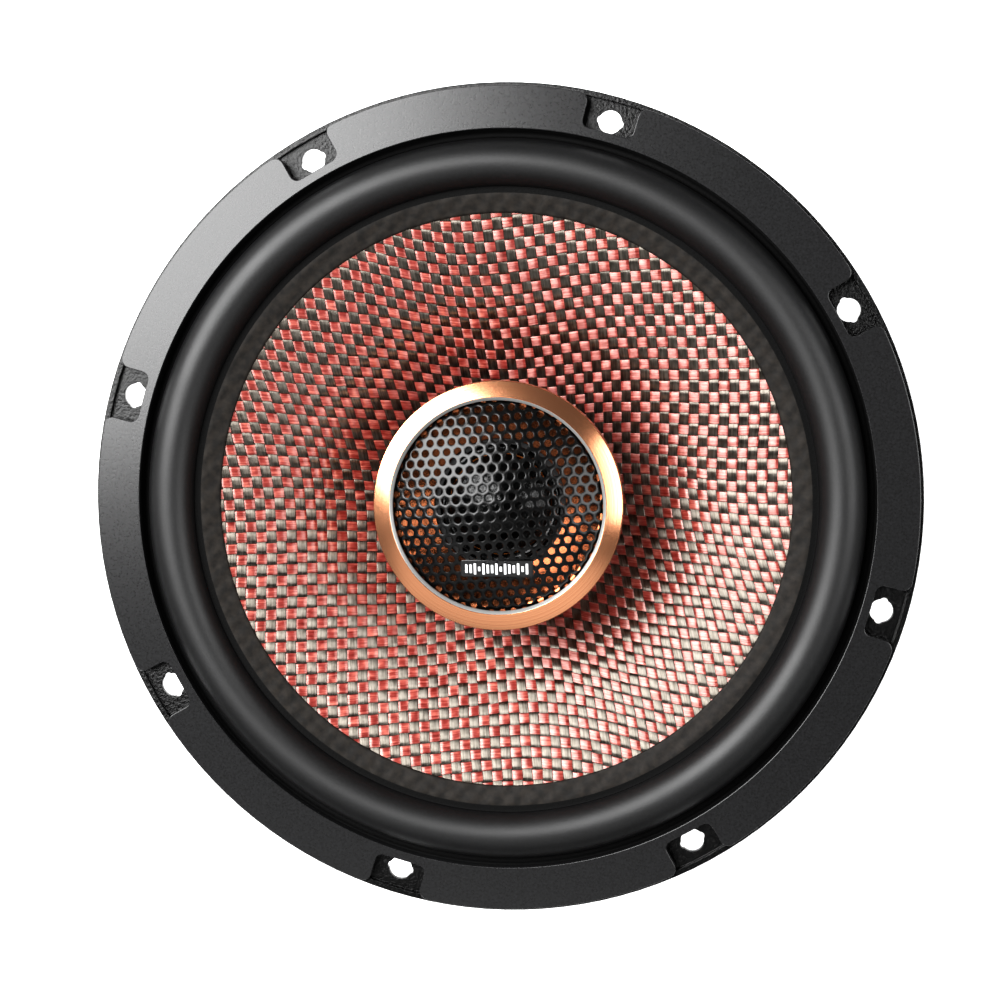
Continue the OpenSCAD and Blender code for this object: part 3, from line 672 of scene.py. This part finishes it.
# %% Tow strips
WARP_PITCH = 2.01 * MM
WEFT_PITCH = 2.22 * MM
WARP_WIDTH = 1.95 * MM
WEFT_WIDTH = 2.03 * MM
CLOTH_TURN = math.radians(2.8)
CLOTH_SKEW = math.tan(math.radians(4.1))
DRAW_IN = 5.6 * MM
DRAW_REACH = 36 * MM
DRAW_WIDTH = 25 * MM
CLOTH_OUT_R = 58.8 * MM
CLOTH_IN_R = 13.6 * MM
TOW_RISE = 0.13 * MM
TOW_CROWN = 0.07 * MM
TOW_FLATNESS = 1.8
TOW_WOBBLE = 0.05 * MM
TOW_STEPS = 6
SHORTEST_TOW = 8
CLOTH_LIFT = 0.16 * MM
rng = np.random.default_rng(7)


def pulled(across, along):
    """Two slow sine waves, together less than half a millimetre high: no cloth lies quite straight."""
    return (
        0.25 * MM * np.sin(along / (11 * MM) + 1.3 * np.sin(across / (23 * MM)))
        + 0.2 * MM * np.sin(along / (6.5 * MM) + across / (17 * MM) + 2)
    )


def drawn(along, off_axis):
    """Cloth that runs down the cone near one of its axes is drawn in, seen from the front:
    by DRAW_IN times tanh(along / DRAW_REACH), fading as exp(-(off_axis / DRAW_WIDTH)^2)."""
    return along - DRAW_IN * np.tanh(along / DRAW_REACH) * np.exp(-((off_axis / DRAW_WIDTH) ** 2))


def pressed(x, y):
    """Where the mould puts a point of the flat cloth: drawn in, pulled, skewed and turned."""
    x, y = drawn(x, y) + pulled(x, y), drawn(y, x) + pulled(y + 9 * MM, x)
    x, y = x - CLOTH_SKEW * y, y - CLOTH_SKEW * x
    c, n = math.cos(CLOTH_TURN), math.sin(CLOTH_TURN)
    return c * x - n * y, n * x + c * y


def tows(pitch, cross_pitch, width, upright):
    """Every tow of one direction, cut off at the rim and at the cone's neck.

    Tow k is centred on k * pitch, plus a small random wobble. Its height is the cone's, plus
    a rise of tanh(flatness * cos(pi * (length / cross_pitch + k))), plus the lens's own. Level
    tows have the other sign, so that they are under where upright ones are over.
    """
    lens = np.array([(-1, 0), (-0.84, 0.78), (0, 1), (0.84, 0.78), (1, 0), (0, -0.5)])
    flat_r = CLOTH_OUT_R + DRAW_IN
    s = np.arange(-flat_r, flat_r, cross_pitch / TOW_STEPS)
    ends = np.array([[0, 1, 2, 5], [2, 3, 4, 5]])
    parts, uvs = [], []
    count = int(flat_r / pitch)
    for k in range(-count, count + 1):
        wave = np.cos(math.pi * (s / cross_pitch + k)) * (1 if upright else -1)
        rise = TOW_RISE * np.tanh(TOW_FLATNESS * wave)
        wobble = rng.normal(0, TOW_WOBBLE, len(s) // TOW_STEPS + 2)
        centre = k * pitch + np.interp(s, np.linspace(s[0], s[-1], len(wobble)), wobble)
        flat = centre[:, None] + lens[None, :, 0] * width / 2
        length = np.broadcast_to(s[:, None], flat.shape)
        x, y = pressed(flat, length) if upright else pressed(length, flat)
        radius = np.hypot(x, y)
        z = cone_height(radius) + CLOTH_LIFT + rise[:, None] + lens[None, :, 1] * TOW_CROWN
        shift = rng.uniform(0, 50, 2)
        u = s[:, None] / MM + shift[0]
        v = np.broadcast_to((lens[None, :, 0] + 1) / 2 + math.floor(shift[1]), flat.shape)
        uv = np.stack(np.broadcast_arrays(u, v), axis=-1)
        inside = (radius[:, 2] < CLOTH_OUT_R) & (radius[:, 2] > CLOTH_IN_R)
        for run in np.split(np.arange(len(s)), np.flatnonzero(np.diff(inside)) + 1):
            if len(run) < SHORTEST_TOW or not inside[run[0]]:
                continue
            ring = np.stack([x[run], y[run], z[run]], axis=-1)
            number = grid_quads(len(run), len(lens), False, True)
            last = (len(run) - 1) * len(lens)
            number = np.concatenate([number, ends[:, ::-1], ends + last])
            parts.append((ring.reshape(-1, 3), number))
            uvs.append(uv[run].reshape(-1, 2))
    return *join(*parts), np.concatenate(uvs)


# %% Cloth finish
COATED_GLASS = {"IOR": 1.85, "Specular IOR Level": 0.84, "Anisotropic": 1.0, "Anisotropic Rotation": 0.25}


def tow_finish(name, deep, mid, bright, dull_shine, shine):
    """Coated glass fibre: fine lengthwise streaks, and a pale shine that spreads across the fibres.

    Clear resin with bright fibres in it sends back more light than plain glass, hence its
    raised index.
    """
    material, tree, shader = finish(name, mid, 0.36, COATED_GLASS)
    uv = add(tree, "ShaderNodeUVMap", uv_map="UVMap").outputs[0]
    # u is in millimetres and v runs 0 to 1 over the tow's width, so these are bundles of
    # fibres about 6 mm long and a sixth of a tow wide, coarser than the real ones.
    place = add(tree, "ShaderNodeMapping", {"Vector": uv, "Scale": (0.16, 6.5, 1)}).outputs[0]
    streak = add(tree, "ShaderNodeTexNoise", {"Vector": place, "Scale": 1, "Detail": 3}).outputs[0]
    slow = add(tree, "ShaderNodeMapping", {"Vector": uv, "Scale": (0.45, 1.6, 1)}).outputs[0]
    patch = add(tree, "ShaderNodeTexNoise", {"Vector": slow, "Scale": 1, "Detail": 2}).outputs[0]
    both = add(tree, "ShaderNodeMix", {"Factor": 0.45, 2: streak, 3: patch}, data_type="FLOAT").outputs[0]
    bump = add(tree, "ShaderNodeBump", {"Height": streak, "Distance": 0.009 * MM, "Strength": 0.8})
    plug(shader, {
        "Base Color": ramp(tree, both, [(0.36, deep), (0.5, mid), (0.66, bright)]),
        "Specular Tint": ramp(tree, both, [(0.38, dull_shine), (0.58, shine)]),
        "Normal": bump.outputs[0],
        "Tangent": add(tree, "ShaderNodeTangent", direction_type="UV_MAP", uv_map="UVMap").outputs[0],
    })
    dulled(tree, shader, both, 0.2, 0.5)
    return material


grey_tow = tow_finish("grey_glass_tow", "#070605", "#110F0D", "#332E29", "#B0A698", "#F4E9DA")
red_tow = tow_finish("red_glass_tow", "#5A1613", "#84302A", "#C06A5C", "#F4B4A8", "#FFF6F0")
for name, material, set_up in (
    ("upright_grey_tows", grey_tow, (WARP_PITCH, WEFT_PITCH, WARP_WIDTH, True)),
    ("level_red_tows", red_tow, (WEFT_PITCH, WARP_PITCH, WEFT_WIDTH, False)),
):
    points, faces, uv = tows(*set_up)
    cloth = new_mesh(name, points, faces, material, uv=uv, weld=False, sharp=180)
    print(name, 2 * len(faces), "triangles")
    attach(cloth, "cone_assembly")

# Between the tows and on the back the cured resin is dark brown, glossy in some places only.
resin_grain = (1.6 * MM, "#120D0B", "#241B17", 0.08 * MM, (0.35, 0.6))
coat(["cone"], 0, ("cured_cone_resin", "#17110F", 0.45), resin_grain)

# %% [markdown]
# ## Spider
#
# The spider is the lower suspension: a flat disc of cotton, dipped in resin and
# pressed into rings of waves. It is a sine wave turned about Z, a fabric thick.

# %% Spider shape
LEDGE_Z = -28 * MM
SPIDER_IN_R, SPIDER_OUT_R = 13.0 * MM, 44.0 * MM
WAVE_START_R, WAVE_END_R = 15 * MM, 35 * MM
SPIDER_ROLLS = 6
SPIDER_AMPLITUDE = 1.1 * MM
SPIDER_MID = LEDGE_Z + 0.3 * MM
SPIDER_T = 0.45 * MM
COLLAR_HEIGHT = 1.8 * MM


def spider_profile():
    """A level disc with 1.1 mm * sin(2 pi * rolls) between two radii, and a collar at its neck."""
    r = np.linspace(SPIDER_IN_R + SPIDER_T, SPIDER_OUT_R, 180)
    phase = 2 * np.pi * SPIDER_ROLLS * (r - WAVE_START_R) / (WAVE_END_R - WAVE_START_R)
    inside = (r > WAVE_START_R) & (r < WAVE_END_R)
    z = SPIDER_MID + np.where(inside, SPIDER_AMPLITUDE * np.sin(phase), 0)
    top = np.column_stack([r, z + SPIDER_T / 2])
    bottom = np.column_stack([r, z - SPIDER_T / 2])[::-1]
    collar_z = SPIDER_MID + COLLAR_HEIGHT
    collar = np.array([(0, collar_z), (SPIDER_T, collar_z)]) + (SPIDER_IN_R, 0)
    collar = np.concatenate([[(SPIDER_IN_R, SPIDER_MID - SPIDER_T / 2)], collar])
    return np.concatenate([collar, top, bottom])


cotton, tree, shader = finish("phenolic_dipped_cotton", "#B8914A", 0.75)
place = add(tree, "ShaderNodeTexCoord").outputs["Object"]
threads = crossed_waves(tree, place, 0.7 * MM, 0.7 * MM)
threads = add(tree, "ShaderNodeMapRange", {"Value": threads, "From Min": -1.0}).outputs[0]
bump = add(tree, "ShaderNodeBump", {"Height": threads, "Distance": 0.08 * MM})
# The colour is darker where the weave is low: painted shade in its hollows.
dipped = ramp(tree, threads, [(0.1, "#7A5A28"), (0.9, "#C7A25C")])
plug(shader, {"Base Color": dipped, "Normal": bump.outputs[0]})
spider = new_mesh("pleated_spider", *turned(spider_profile(), 192), cotton, sharp=60)
blend_across(spider)
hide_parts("spider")

# %% [markdown]
# ## Tweeter bezel and dish
#
# Both are aluminium turned on a lathe and anodised copper. The cutter leaves rings
# round the axis, so the shine spreads outwards from the axis in two bright fans.
# The tangent that runs round Z gives the shader that direction. The inner edge is
# cut after anodising, which leaves a thin bright ring.

# %% Turned metal
def turned_metal(name, dark, light, roughness, spread=0.8, groove=0.003 * MM, metallic=1.0):
    """Lathe-cut anodised metal: fine rings round Z, and a shine stretched away from the axis.

    The rings are noise over the distance from the axis, sqrt(x^2 + y^2 + (0.4 z)^2).
    """
    lathe_cut = {"Metallic": metallic, "Anisotropic": spread, "Anisotropic Rotation": 0.25}
    material, tree, shader = finish(name, light, roughness, lathe_cut)
    place = add(tree, "ShaderNodeTexCoord").outputs["Object"]
    level = add(tree, "ShaderNodeVectorMath", {0: place, 1: (1, 1, 0.4)}, operation="MULTIPLY").outputs[0]
    radius = add(tree, "ShaderNodeVectorMath", {0: level}, operation="LENGTH").outputs["Value"]
    spacing = {"W": radius, "Scale": 1 / (0.18 * MM), "Detail": 4}
    rings = add(tree, "ShaderNodeTexNoise", spacing, noise_dimensions="1D").outputs[0]
    bump = add(tree, "ShaderNodeBump", {"Height": rings, "Distance": groove, "Strength": 0.6})
    plug(shader, {
        "Base Color": ramp(tree, rings, [(0.3, dark), (0.7, light)]),
        "Normal": bump.outputs[0],
        "Tangent": add(tree, "ShaderNodeTangent", direction_type="RADIAL", axis="Z").outputs[0],
    })
    return material


copper = turned_metal("copper_anodised_aluminium", "#E0966C", "#F2B086", 0.24)
bright_cut = turned_metal("bright_cut_aluminium", "#A0A09E", "#D0D0CE", 0.34, 0.3, metallic=0.7)
# The dish has the bezel's anodised copper in a darker colour: painted shade for its place under the grille.
shaded_dish_copper = turned_metal("copper_anodised_dish_painted_shade", "#A8643F", "#BC7450", 0.26, 0.5, 0)
repaint(["tweeter_housing"], copper)

# %% Bezel, bright edge and dish
_, horn_high, horn_r = reach("tweeter_horn")
_, face_high, _ = reach("tweeter_faceplate")
crest_r = 21.1 * MM
lip_r = 20.5 * MM
horn_throat_r = 12.9 * MM
bezel_profile = [
    (23.35 * MM, bezel_low, 0),
    (bezel_r, bezel_low, 0.15 * MM),
    (bezel_r, bezel_high - 0.95 * MM, 0.22 * MM),
    (crest_r, bezel_high, 0.1 * MM),
    (crest_r - 0.2 * MM, bezel_high - 0.25 * MM, 0),
    (lip_r + 0.6 * MM, bezel_high - 1.3 * MM, 0),
    (21.55 * MM, bezel_high - 2.3 * MM, 0),
    (23.35 * MM, bezel_high - 2.6 * MM, 0),
]
bright_profile = [
    (crest_r - 0.02 * MM, bezel_high - 0.02 * MM, 0.05 * MM),
    (lip_r, bezel_high - 0.62 * MM, 0.05 * MM),
    (lip_r, bezel_high - 1.2 * MM, 0.05 * MM),
    (crest_r + 0.1 * MM, bezel_high - 1.2 * MM, 0),
    (crest_r + 0.1 * MM, bezel_high - 0.3 * MM, 0),
]
dish_profile = [
    (horn_throat_r, face_high + 0.05 * MM, 0),
    (14.0 * MM, face_high + 0.05 * MM, 0),
    (20.4 * MM, horn_high - 0.6 * MM, 0),
    (horn_r, horn_high - 0.6 * MM, 0),
    (horn_r, horn_high, 0),
    (20.0 * MM, horn_high, 1.5 * MM),
    (16.4 * MM, horn_high - 1.95 * MM, 6 * MM),
    (horn_throat_r, face_high + 0.7 * MM, 0.2 * MM),
]
for name, profile, metal, node in (
    ("bezel_ring", bezel_profile, copper, "tweeter_bezel"),
    ("bezel_bright_edge", bright_profile, bright_cut, None),
    ("horn_dish", dish_profile, shaded_dish_copper, "tweeter_horn"),
):
    part = new_mesh(name, *turned(rounded(profile)), metal, sharp=35)
    if node:
        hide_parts(node)
    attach(part, "frame")

# %% [markdown]
# ## Perforated grille
#
# The grille is a disc of thin steel, punched with round holes in a honeycomb
# layout and then pressed into a shallow dome. Each hole sits in a six-sided cell,
# and one cell is a few rings of points between the cell's edge and the hole, so one
# small pattern, moved to every cell and lifted onto the sphere, makes the sheet.

# %% Grille
HOLE_PITCH = 2.18 * MM
PUNCH_R = 0.70 * MM
GRILLE_TURN = math.radians(4.9)
GRILLE_SPHERE_R = 48.7 * MM
GRILLE_T = 0.5 * MM
PUNCH_ROUND = 0.07 * MM
POINTS_ROUND = 24
_, grille_high, grille_edge_r = reach("tweeter_grille")
sphere_centre = grille_high - GRILLE_SPHERE_R


def perforated_dome():
    """Six-sided cells in rows half a pitch out of step, each with a round hole.

    A cell's edge is pitch / 2 / cos(angle from the nearest side's middle) from its centre.
    Each ring's points lie between the hole and that edge, at a depth below the sphere.
    Points past the grille's own edge are pulled back onto it.
    """
    turn = np.linspace(0, 2 * np.pi, POINTS_ROUND, endpoint=False)
    sector = (turn + math.pi / 6) % (math.pi / 3) - math.pi / 6
    cell_r = HOLE_PITCH / 2 / np.cos(sector)
    # (share of the way from the hole to the cell's edge, extra radius, depth)
    rings = [(1, 0, 0), (0, PUNCH_ROUND, 0), (0, 0.3 * PUNCH_ROUND, 0.3 * PUNCH_ROUND),
             (0, 0, PUNCH_ROUND), (0, 0, GRILLE_T), (1, 0, GRILLE_T)]
    share, extra, depth = np.array(rings).T[:, :, None]
    radius = (PUNCH_R + extra) * (1 - share) + share * cell_r
    local = np.stack([radius * np.cos(turn), radius * np.sin(turn)], axis=-1)
    row_step = HOLE_PITCH * math.sqrt(3) / 2
    rows = int(grille_edge_r / row_step) + 2
    j, i = np.meshgrid(np.arange(-rows, rows + 1), np.arange(-rows, rows + 1), indexing="ij")
    centres = np.column_stack([(i * HOLE_PITCH + (j % 2) * HOLE_PITCH / 2).ravel(), (j * row_step).ravel()])
    edge = grille_edge_r - 0.1 * MM
    centres = centres[np.linalg.norm(centres, axis=1) < edge + 0.55 * HOLE_PITCH]
    c, s = math.cos(GRILLE_TURN), math.sin(GRILLE_TURN)
    flat = centres[:, None, None] + local
    x, y = c * flat[..., 0] - s * flat[..., 1], s * flat[..., 0] + c * flat[..., 1]
    radius = np.hypot(x, y)
    squeeze = np.minimum(1, edge / np.maximum(radius, 1e-9))
    x, y = x * squeeze, y * squeeze
    z = sphere_centre + np.sqrt(GRILLE_SPHERE_R**2 - x**2 - y**2) - depth
    points = np.stack([x, y, z], axis=-1).reshape(-1, 3)
    cell = grid_quads(len(rings), POINTS_ROUND, False, True)
    starts = np.arange(len(centres))[:, None, None] * len(rings) * POINTS_ROUND
    return points, (cell[None] + starts).reshape(-1, 4)


# Lacquer on steel is a glossy black, and the rounded edge of each hole catches a line of light.
mesh_paint, tree, shader = finish("black_lacquered_steel", "#040404", 0.22, {"Specular IOR Level": 0.3})
grain(tree, shader, 0.25 * MM, "#030303", "#080808", 0.004 * MM, (0.18, 0.28))
grille = new_mesh("punched_grille", *perforated_dome(), mesh_paint, sharp=50)
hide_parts("tweeter_grille")
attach(grille, "frame")

# %% [markdown]
# ## Badge
#
# A small black plate is glued to the grille. It carries a plain ornament of upright
# bars, like the columns of a level meter, in bright metal foil.

# %% Badge plate and bars
BADGE_SIZE = (14.2 * MM, 3.4 * MM)
BADGE_Y = -12 * MM
BADGE_T = 0.6 * MM
BAR_COUNT = 15
BAR_STEP = 0.84 * MM
BAR_SIZE = (0.5 * MM, 0.9 * MM, 0.14 * MM)
BAR_SWING = 1.4 * MM


def on_grille(points, lift):
    """Lifts flat points onto the grille's sphere, plus their own z above it."""
    x, y, z = np.array(points, float).T
    z += sphere_centre + np.sqrt((GRILLE_SPHERE_R + lift) ** 2 - x**2 - y**2)
    return np.column_stack([x, y, z])


def slab(width, height, corner, thickness, edge, x=0.0, y=0.0):
    """A rounded plate: a filleted profile carried round a rounded rectangle, and two caps."""
    w, h = width / 2, height / 2
    corners = [(x + a * w, y + b * h, corner) for a, b in ((-1, -1), (1, -1), (1, 1), (-1, 1))]
    outline = rounded(corners, steps=4)
    wall, faces, top = carried(outline, np.concatenate([[(0, 0)], edge_round(edge, thickness, 3)]))
    return join((wall, as_triangles(faces)), cap(top, thickness), cap(outline, 0))


# The plate is lacquered to a high gloss. The foil is stamped on, bright but not a mirror.
gloss_black, tree, shader = finish("gloss_black_plate", "#050506", 0.16, {"Coat Weight": 0.4})
grain(tree, shader, 2 * MM, "#040405", "#09090A", 0.0, (0.12, 0.22))
foil, tree, shader = finish("bright_foil", "#F2F2F2", 0.3, {"Metallic": 0.35})
grain(tree, shader, 0.3 * MM, "#E6E6E8", "#FAFAFA", 0.004 * MM, (0.22, 0.36))

points, faces = slab(*BADGE_SIZE, 0.6 * MM, BADGE_T, 0.12 * MM, y=BADGE_Y)
badge = new_mesh("badge_plate", on_grille(points, -0.05 * MM), faces, gloss_black)
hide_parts("tweeter_badge")
bars = []
for k in range(BAR_COUNT):
    width, lowest, thickness = BAR_SIZE
    height = lowest + BAR_SWING * abs(math.sin(1.9 * k + 0.6))
    x = (k - (BAR_COUNT - 1) / 2) * BAR_STEP
    bars.append(slab(width, height, 0.12 * MM, thickness, 0.04 * MM, x, BADGE_Y))
points, faces = join(*bars)
bar_piece = new_mesh("badge_bars", on_grille(points, BADGE_T - 0.07 * MM), faces, foil)
for part in (badge, bar_piece):
    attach(part, "frame")

# %% [markdown]
# ## Dome and faceplate
#
# The dome is silk pressed to shape and painted with a black damping dope. It dries
# a little wrinkled and glossy, so a light breaks up on it into small sparks.

# %% Dome
SILK = 0.25 * MM
dome_low, dome_high, dome_r = reach("tweeter_dome")
doped_silk, tree, shader = finish("doped_silk", "#030303", 0.08)
grain(tree, shader, 0.7 * MM, "#020202", "#060606", 0.06 * MM, (0.04, 0.1))
# The sphere through the rim and the crown has the radius (r^2 + h^2) / 2h.
height = dome_high - dome_low
sphere_r = (dome_r**2 + height**2) / (2 * height)
angle = np.linspace(0, math.asin(dome_r / sphere_r), 40)
outer = np.column_stack([sphere_r * np.sin(angle), dome_high - sphere_r * (1 - np.cos(angle))])
dome_profile = np.concatenate([outer, outer[::-1] - (0, SILK)])
dome = new_mesh("silk_dome", *turned(dome_profile, 128, closed=False), doped_silk, sharp=60)
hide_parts("tweeter_dome")
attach(dome, "tweeter_diaphragm")
repaint(["tweeter_suspension"], doped_silk)
# Moulded ABS is a satin black.
faceplate_grain = (0.4 * MM, "#0A0A0B", "#171718", 0.02 * MM, (0.4, 0.55))
coat(["tweeter_faceplate"], 0, ("black_abs_faceplate", "#0E0E0F", 0.45), faceplate_grain)

# %% [markdown]
# ## Motor
#
# Behind the basket are two plated steel plates with a ferrite ring between them,
# and a rubber boot over the ring. Their CAD shapes are right.

# %% Motor finishes
METAL = {"Metallic": 1.0}
for names, edge, values, grain_values in (
    # Zinc plate is grey and cloudy, with a soft shine.
    (["front_plate", "yoke", "tweeter_pot", "tweeter_pole_plate", "tweeter_magnet"], 0.3 * MM,
     ("zinc_plated_steel", "#9A9CA0", 0.32, METAL),
     (0.8 * MM, "#85888C", "#B2B4B8", 0.01 * MM, (0.26, 0.42))),
    # Ground ferrite is matt, and its dark grey is broken up by the grinding.
    (["ferrite_magnet"], 0.3 * MM,
     ("ground_ferrite", "#2A2826", 0.55),
     (0.5 * MM, "#1F1D1C", "#373432", 0.03 * MM, (0.45, 0.65))),
    # Moulded rubber is black with a dull sheen, and every edge of it is soft.
    (["magnet_boot"], 0.5 * MM,
     ("moulded_boot_rubber", "#121213", 0.5),
     (0.6 * MM, "#0E0E0F", "#1A1A1B", 0.03 * MM, (0.42, 0.6))),
    # Bright zinc on small parts shows as sparks of light.
    (["plate_rivets", "board_rivets", "post_nut", "housing_screws"], 0.2 * MM,
     ("bright_zinc", "#B4B6BA", 0.28, METAL),
     (0.3 * MM, "#9C9EA2", "#CFD1D4", 0.01 * MM, (0.22, 0.4))),
    # The glass fibres in the nylon leave its black faintly mottled.
    (["tweeter_post"], 0.3 * MM,
     ("glass_filled_nylon", "#131314", 0.45),
     (0.4 * MM, "#0F0F10", "#1C1C1D", 0.02 * MM, (0.38, 0.52))),
    # Polyimide film is a glossy amber.
    (["coil_former", "tweeter_former"], 0,
     ("amber_polyimide_film", "#8A5A22", 0.25),
     (1.2 * MM, "#7A4C1A", "#A06C2C", 0, (0.2, 0.3))),
    # Felt has no shine at all.
    (["tweeter_felt"], 0,
     ("wool_felt", "#C9C3B5", 0.95),
     (0.4 * MM, "#B5AE9E", "#DAD5C8", 0.15 * MM)),
):
    coat(names, edge, values, grain_values)
# Wire is wound round its coil, so its grain is 50 times as long across the axis as along it.
wound_grain = (0.25 * MM, "#8E4A1E", "#CC7C40", 0.05 * MM, (0.25, 0.35))
wire_enamel = ("enamelled_copper_wire", "#B4662F", 0.3, METAL)
coat(["voice_coil", "tweeter_winding"], 0, wire_enamel, wound_grain, stretch=(0.02, 0.02, 1))

# %% [markdown]
# ## Terminals and crossover
#
# The board is brown phenolic paper, punched from a sheet. The wide tab is brass and
# the narrow one is tinned. The capacitor lies against the basket's neck in hot glue.

# %% Terminal finishes
for names, edge, values, grain_values in (
    # The paper's fibres show as darker flecks in the brown resin.
    (["terminal_board"], 0.12 * MM,
     ("phenolic_paper_board", "#2E2018", 0.42),
     (0.7 * MM, "#241811", "#3B2A1F", 0.015 * MM, (0.35, 0.5))),
    # The die leaves brass bright yellow, with slight streaks.
    (["positive_tab"], 0.1 * MM,
     ("stamped_brass", "#C49A45", 0.28, METAL),
     (0.5 * MM, "#AD8434", "#D8B05A", 0.008 * MM, (0.22, 0.36))),
    # Tin is whiter and a little softer than zinc.
    (["negative_tab", "capacitor_lead"], 0.1 * MM,
     ("tinned_brass", "#C2C4C6", 0.3, METAL),
     (0.5 * MM, "#AEB0B3", "#D4D6D8", 0.008 * MM, (0.25, 0.4))),
    # A shrunk sleeve is an even blue, glossy and round at its ends.
    (["crossover_capacitor"], 0.6 * MM,
     ("shrunk_vinyl_sleeve", "#1E3566", 0.3),
     (1.5 * MM, "#182C58", "#27427A", 0.03 * MM, (0.25, 0.38))),
    # Hot glue is a milky amber that lets a little light in.
    (["capacitor_glue"], 1.2 * MM,
     ("hot_glue", "#C7A96E", 0.35, {"Subsurface Weight": 0.3}),
     (2 * MM, "#B4945A", "#D6BC86", 0.3 * MM, (0.28, 0.42))),
):
    coat(names, edge, values, grain_values)

# %% [markdown]
# ## Leads
#
# Two braided tinsel leads hang in a loop from the board to the cone's neck, so that
# they flex as it moves. Two insulated wires run outside the magnet, under the boot
# and up through the post to the tweeter. The routes are listed, in a frame
# whose +X points at the terminal board.

# %% Lead routes
BOARD_TURN = math.radians(-45)
TINSEL_ROUTE = [
    (56, 7, -15.9), (54.2, 7.2, -14.3), (50.5, 7.6, -14.2), (44, 8, -17.5),
    (36, 7.8, -21), (28, 7, -21.8), (21, 6, -20.6), (16.4, 5.2, -20.8),
    (13.5, 4.6, -22.4), (12.95, 4.4, -24.4),
]
MINUS_START = [
    (60.6, -7, -22.3), (58.4, -6.8, -25.4), (54, -5.6, -29.4), (50, -3.6, -34),
    (46.8, -1.8, -39.5), (44.4, -0.8, -45),
]
PLUS_START = [
    (27.3, 34.2, -34), (27, 36.4, -34.6), (29, 38.2, -37.4), (33.6, 34.6, -40.2),
    (39, 26.6, -41.6), (43.2, 17, -42.6), (45.2, 8, -43.4), (44.4, 2.6, -45),
]


def wire_tail(y):
    """The last stretch of a tweeter wire, the same for both but for its side."""
    return [
        (43.5, y, -50), (43.5, y, -57.5), (42.8, y, -61), (40.4, y, -63.6), (36, y, -64.05),
        (25, y, -64.05), (9, y, -64.05), (4.2, y, -63.9), (1.3, y, -62.4), (0.1, y, -59),
        (0, y, -45), (0, y, -24), (0, y, -3.5), (0.5, y, -0.5), (2.4, y, 0.8),
        (6, y, 0.9), (12.9, y, 0.85), (13.6, y, 1.8), (13.6, y, 4.7),
    ]


def near_board(route):
    """Millimetres in the board's frame to metres in the speaker's."""
    x, y, z = np.asarray(route, float).T * MM
    c, s = math.cos(BOARD_TURN), math.sin(BOARD_TURN)
    return np.column_stack([c * x - s * y, s * x + c * y, z])


def lead(name, route, radius, material, sides=12):
    """A tube of one radius along the smooth curve through a route's points."""
    points, faces, uv = tube(smooth_route(near_board(route)), radius, sides)
    made = new_mesh(name, points, faces, material, uv=uv, sharp=180)
    return made


tinsel, tree, shader = finish("copper_tinsel_braid", "#B87C4E", 0.4, {"Metallic": 0.8})
# Two sets of six strands cross at 45 degrees and go once round the lead in 3 mm: each is
# a sine of 6 turns of v plus or minus 6 turns of u per 3 mm, and the higher one shows.
STRANDS = 2 * math.pi * 6
uv = add(tree, "ShaderNodeUVMap", uv_map="UVMap").outputs[0]
split = add(tree, "ShaderNodeSeparateXYZ", {"Vector": uv})
strands = []
for lean in (1, -1):
    twist = {0: split.outputs["X"], 1: lean * STRANDS / (3 * MM)}
    length = add(tree, "ShaderNodeMath", twist, operation="MULTIPLY").outputs[0]
    around = {0: split.outputs["Y"], 1: STRANDS, 2: length}
    angle = add(tree, "ShaderNodeMath", around, operation="MULTIPLY_ADD").outputs[0]
    strands.append(add(tree, "ShaderNodeMath", {0: angle}, operation="SINE").outputs[0])
braid = add(tree, "ShaderNodeMath", {0: strands[0], 1: strands[1]}, operation="MAXIMUM").outputs[0]
bump = add(tree, "ShaderNodeBump", {"Height": braid, "Distance": 0.1 * MM}).outputs[0]
# The copper is darker where the strands are low: painted shade in the gaps between them.
plug(shader, {"Base Color": ramp(tree, braid, [(0.0, "#5A3418"), (0.8, "#D49A68")]), "Normal": bump})

for pole, side in (("positive", 1), ("negative", -1)):
    route = [(x, side * y, z) for x, y, z in TINSEL_ROUTE]
    flex = lead(pole + "_flex_lead", route, 0.6 * MM, tinsel, 16)
    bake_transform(flex)
    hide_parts(pole + "_tinsel_lead")

for name, colour, start, side in (
    ("red_tweeter_wire", ("#7E1616", "#A82222"), PLUS_START, 0.65),
    ("black_tweeter_wire", ("#0C0C0D", "#19191A"), MINUS_START, -0.65),
):
    insulation, tree, shader = finish(name + "_pvc", colour[0], 0.32)
    grain(tree, shader, 1.5 * MM, *colour, 0.01 * MM, (0.26, 0.4))
    wire = lead(name, start + wire_tail(side), 0.5 * MM, insulation)
    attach(wire, "frame")
    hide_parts("tweeter_wires")
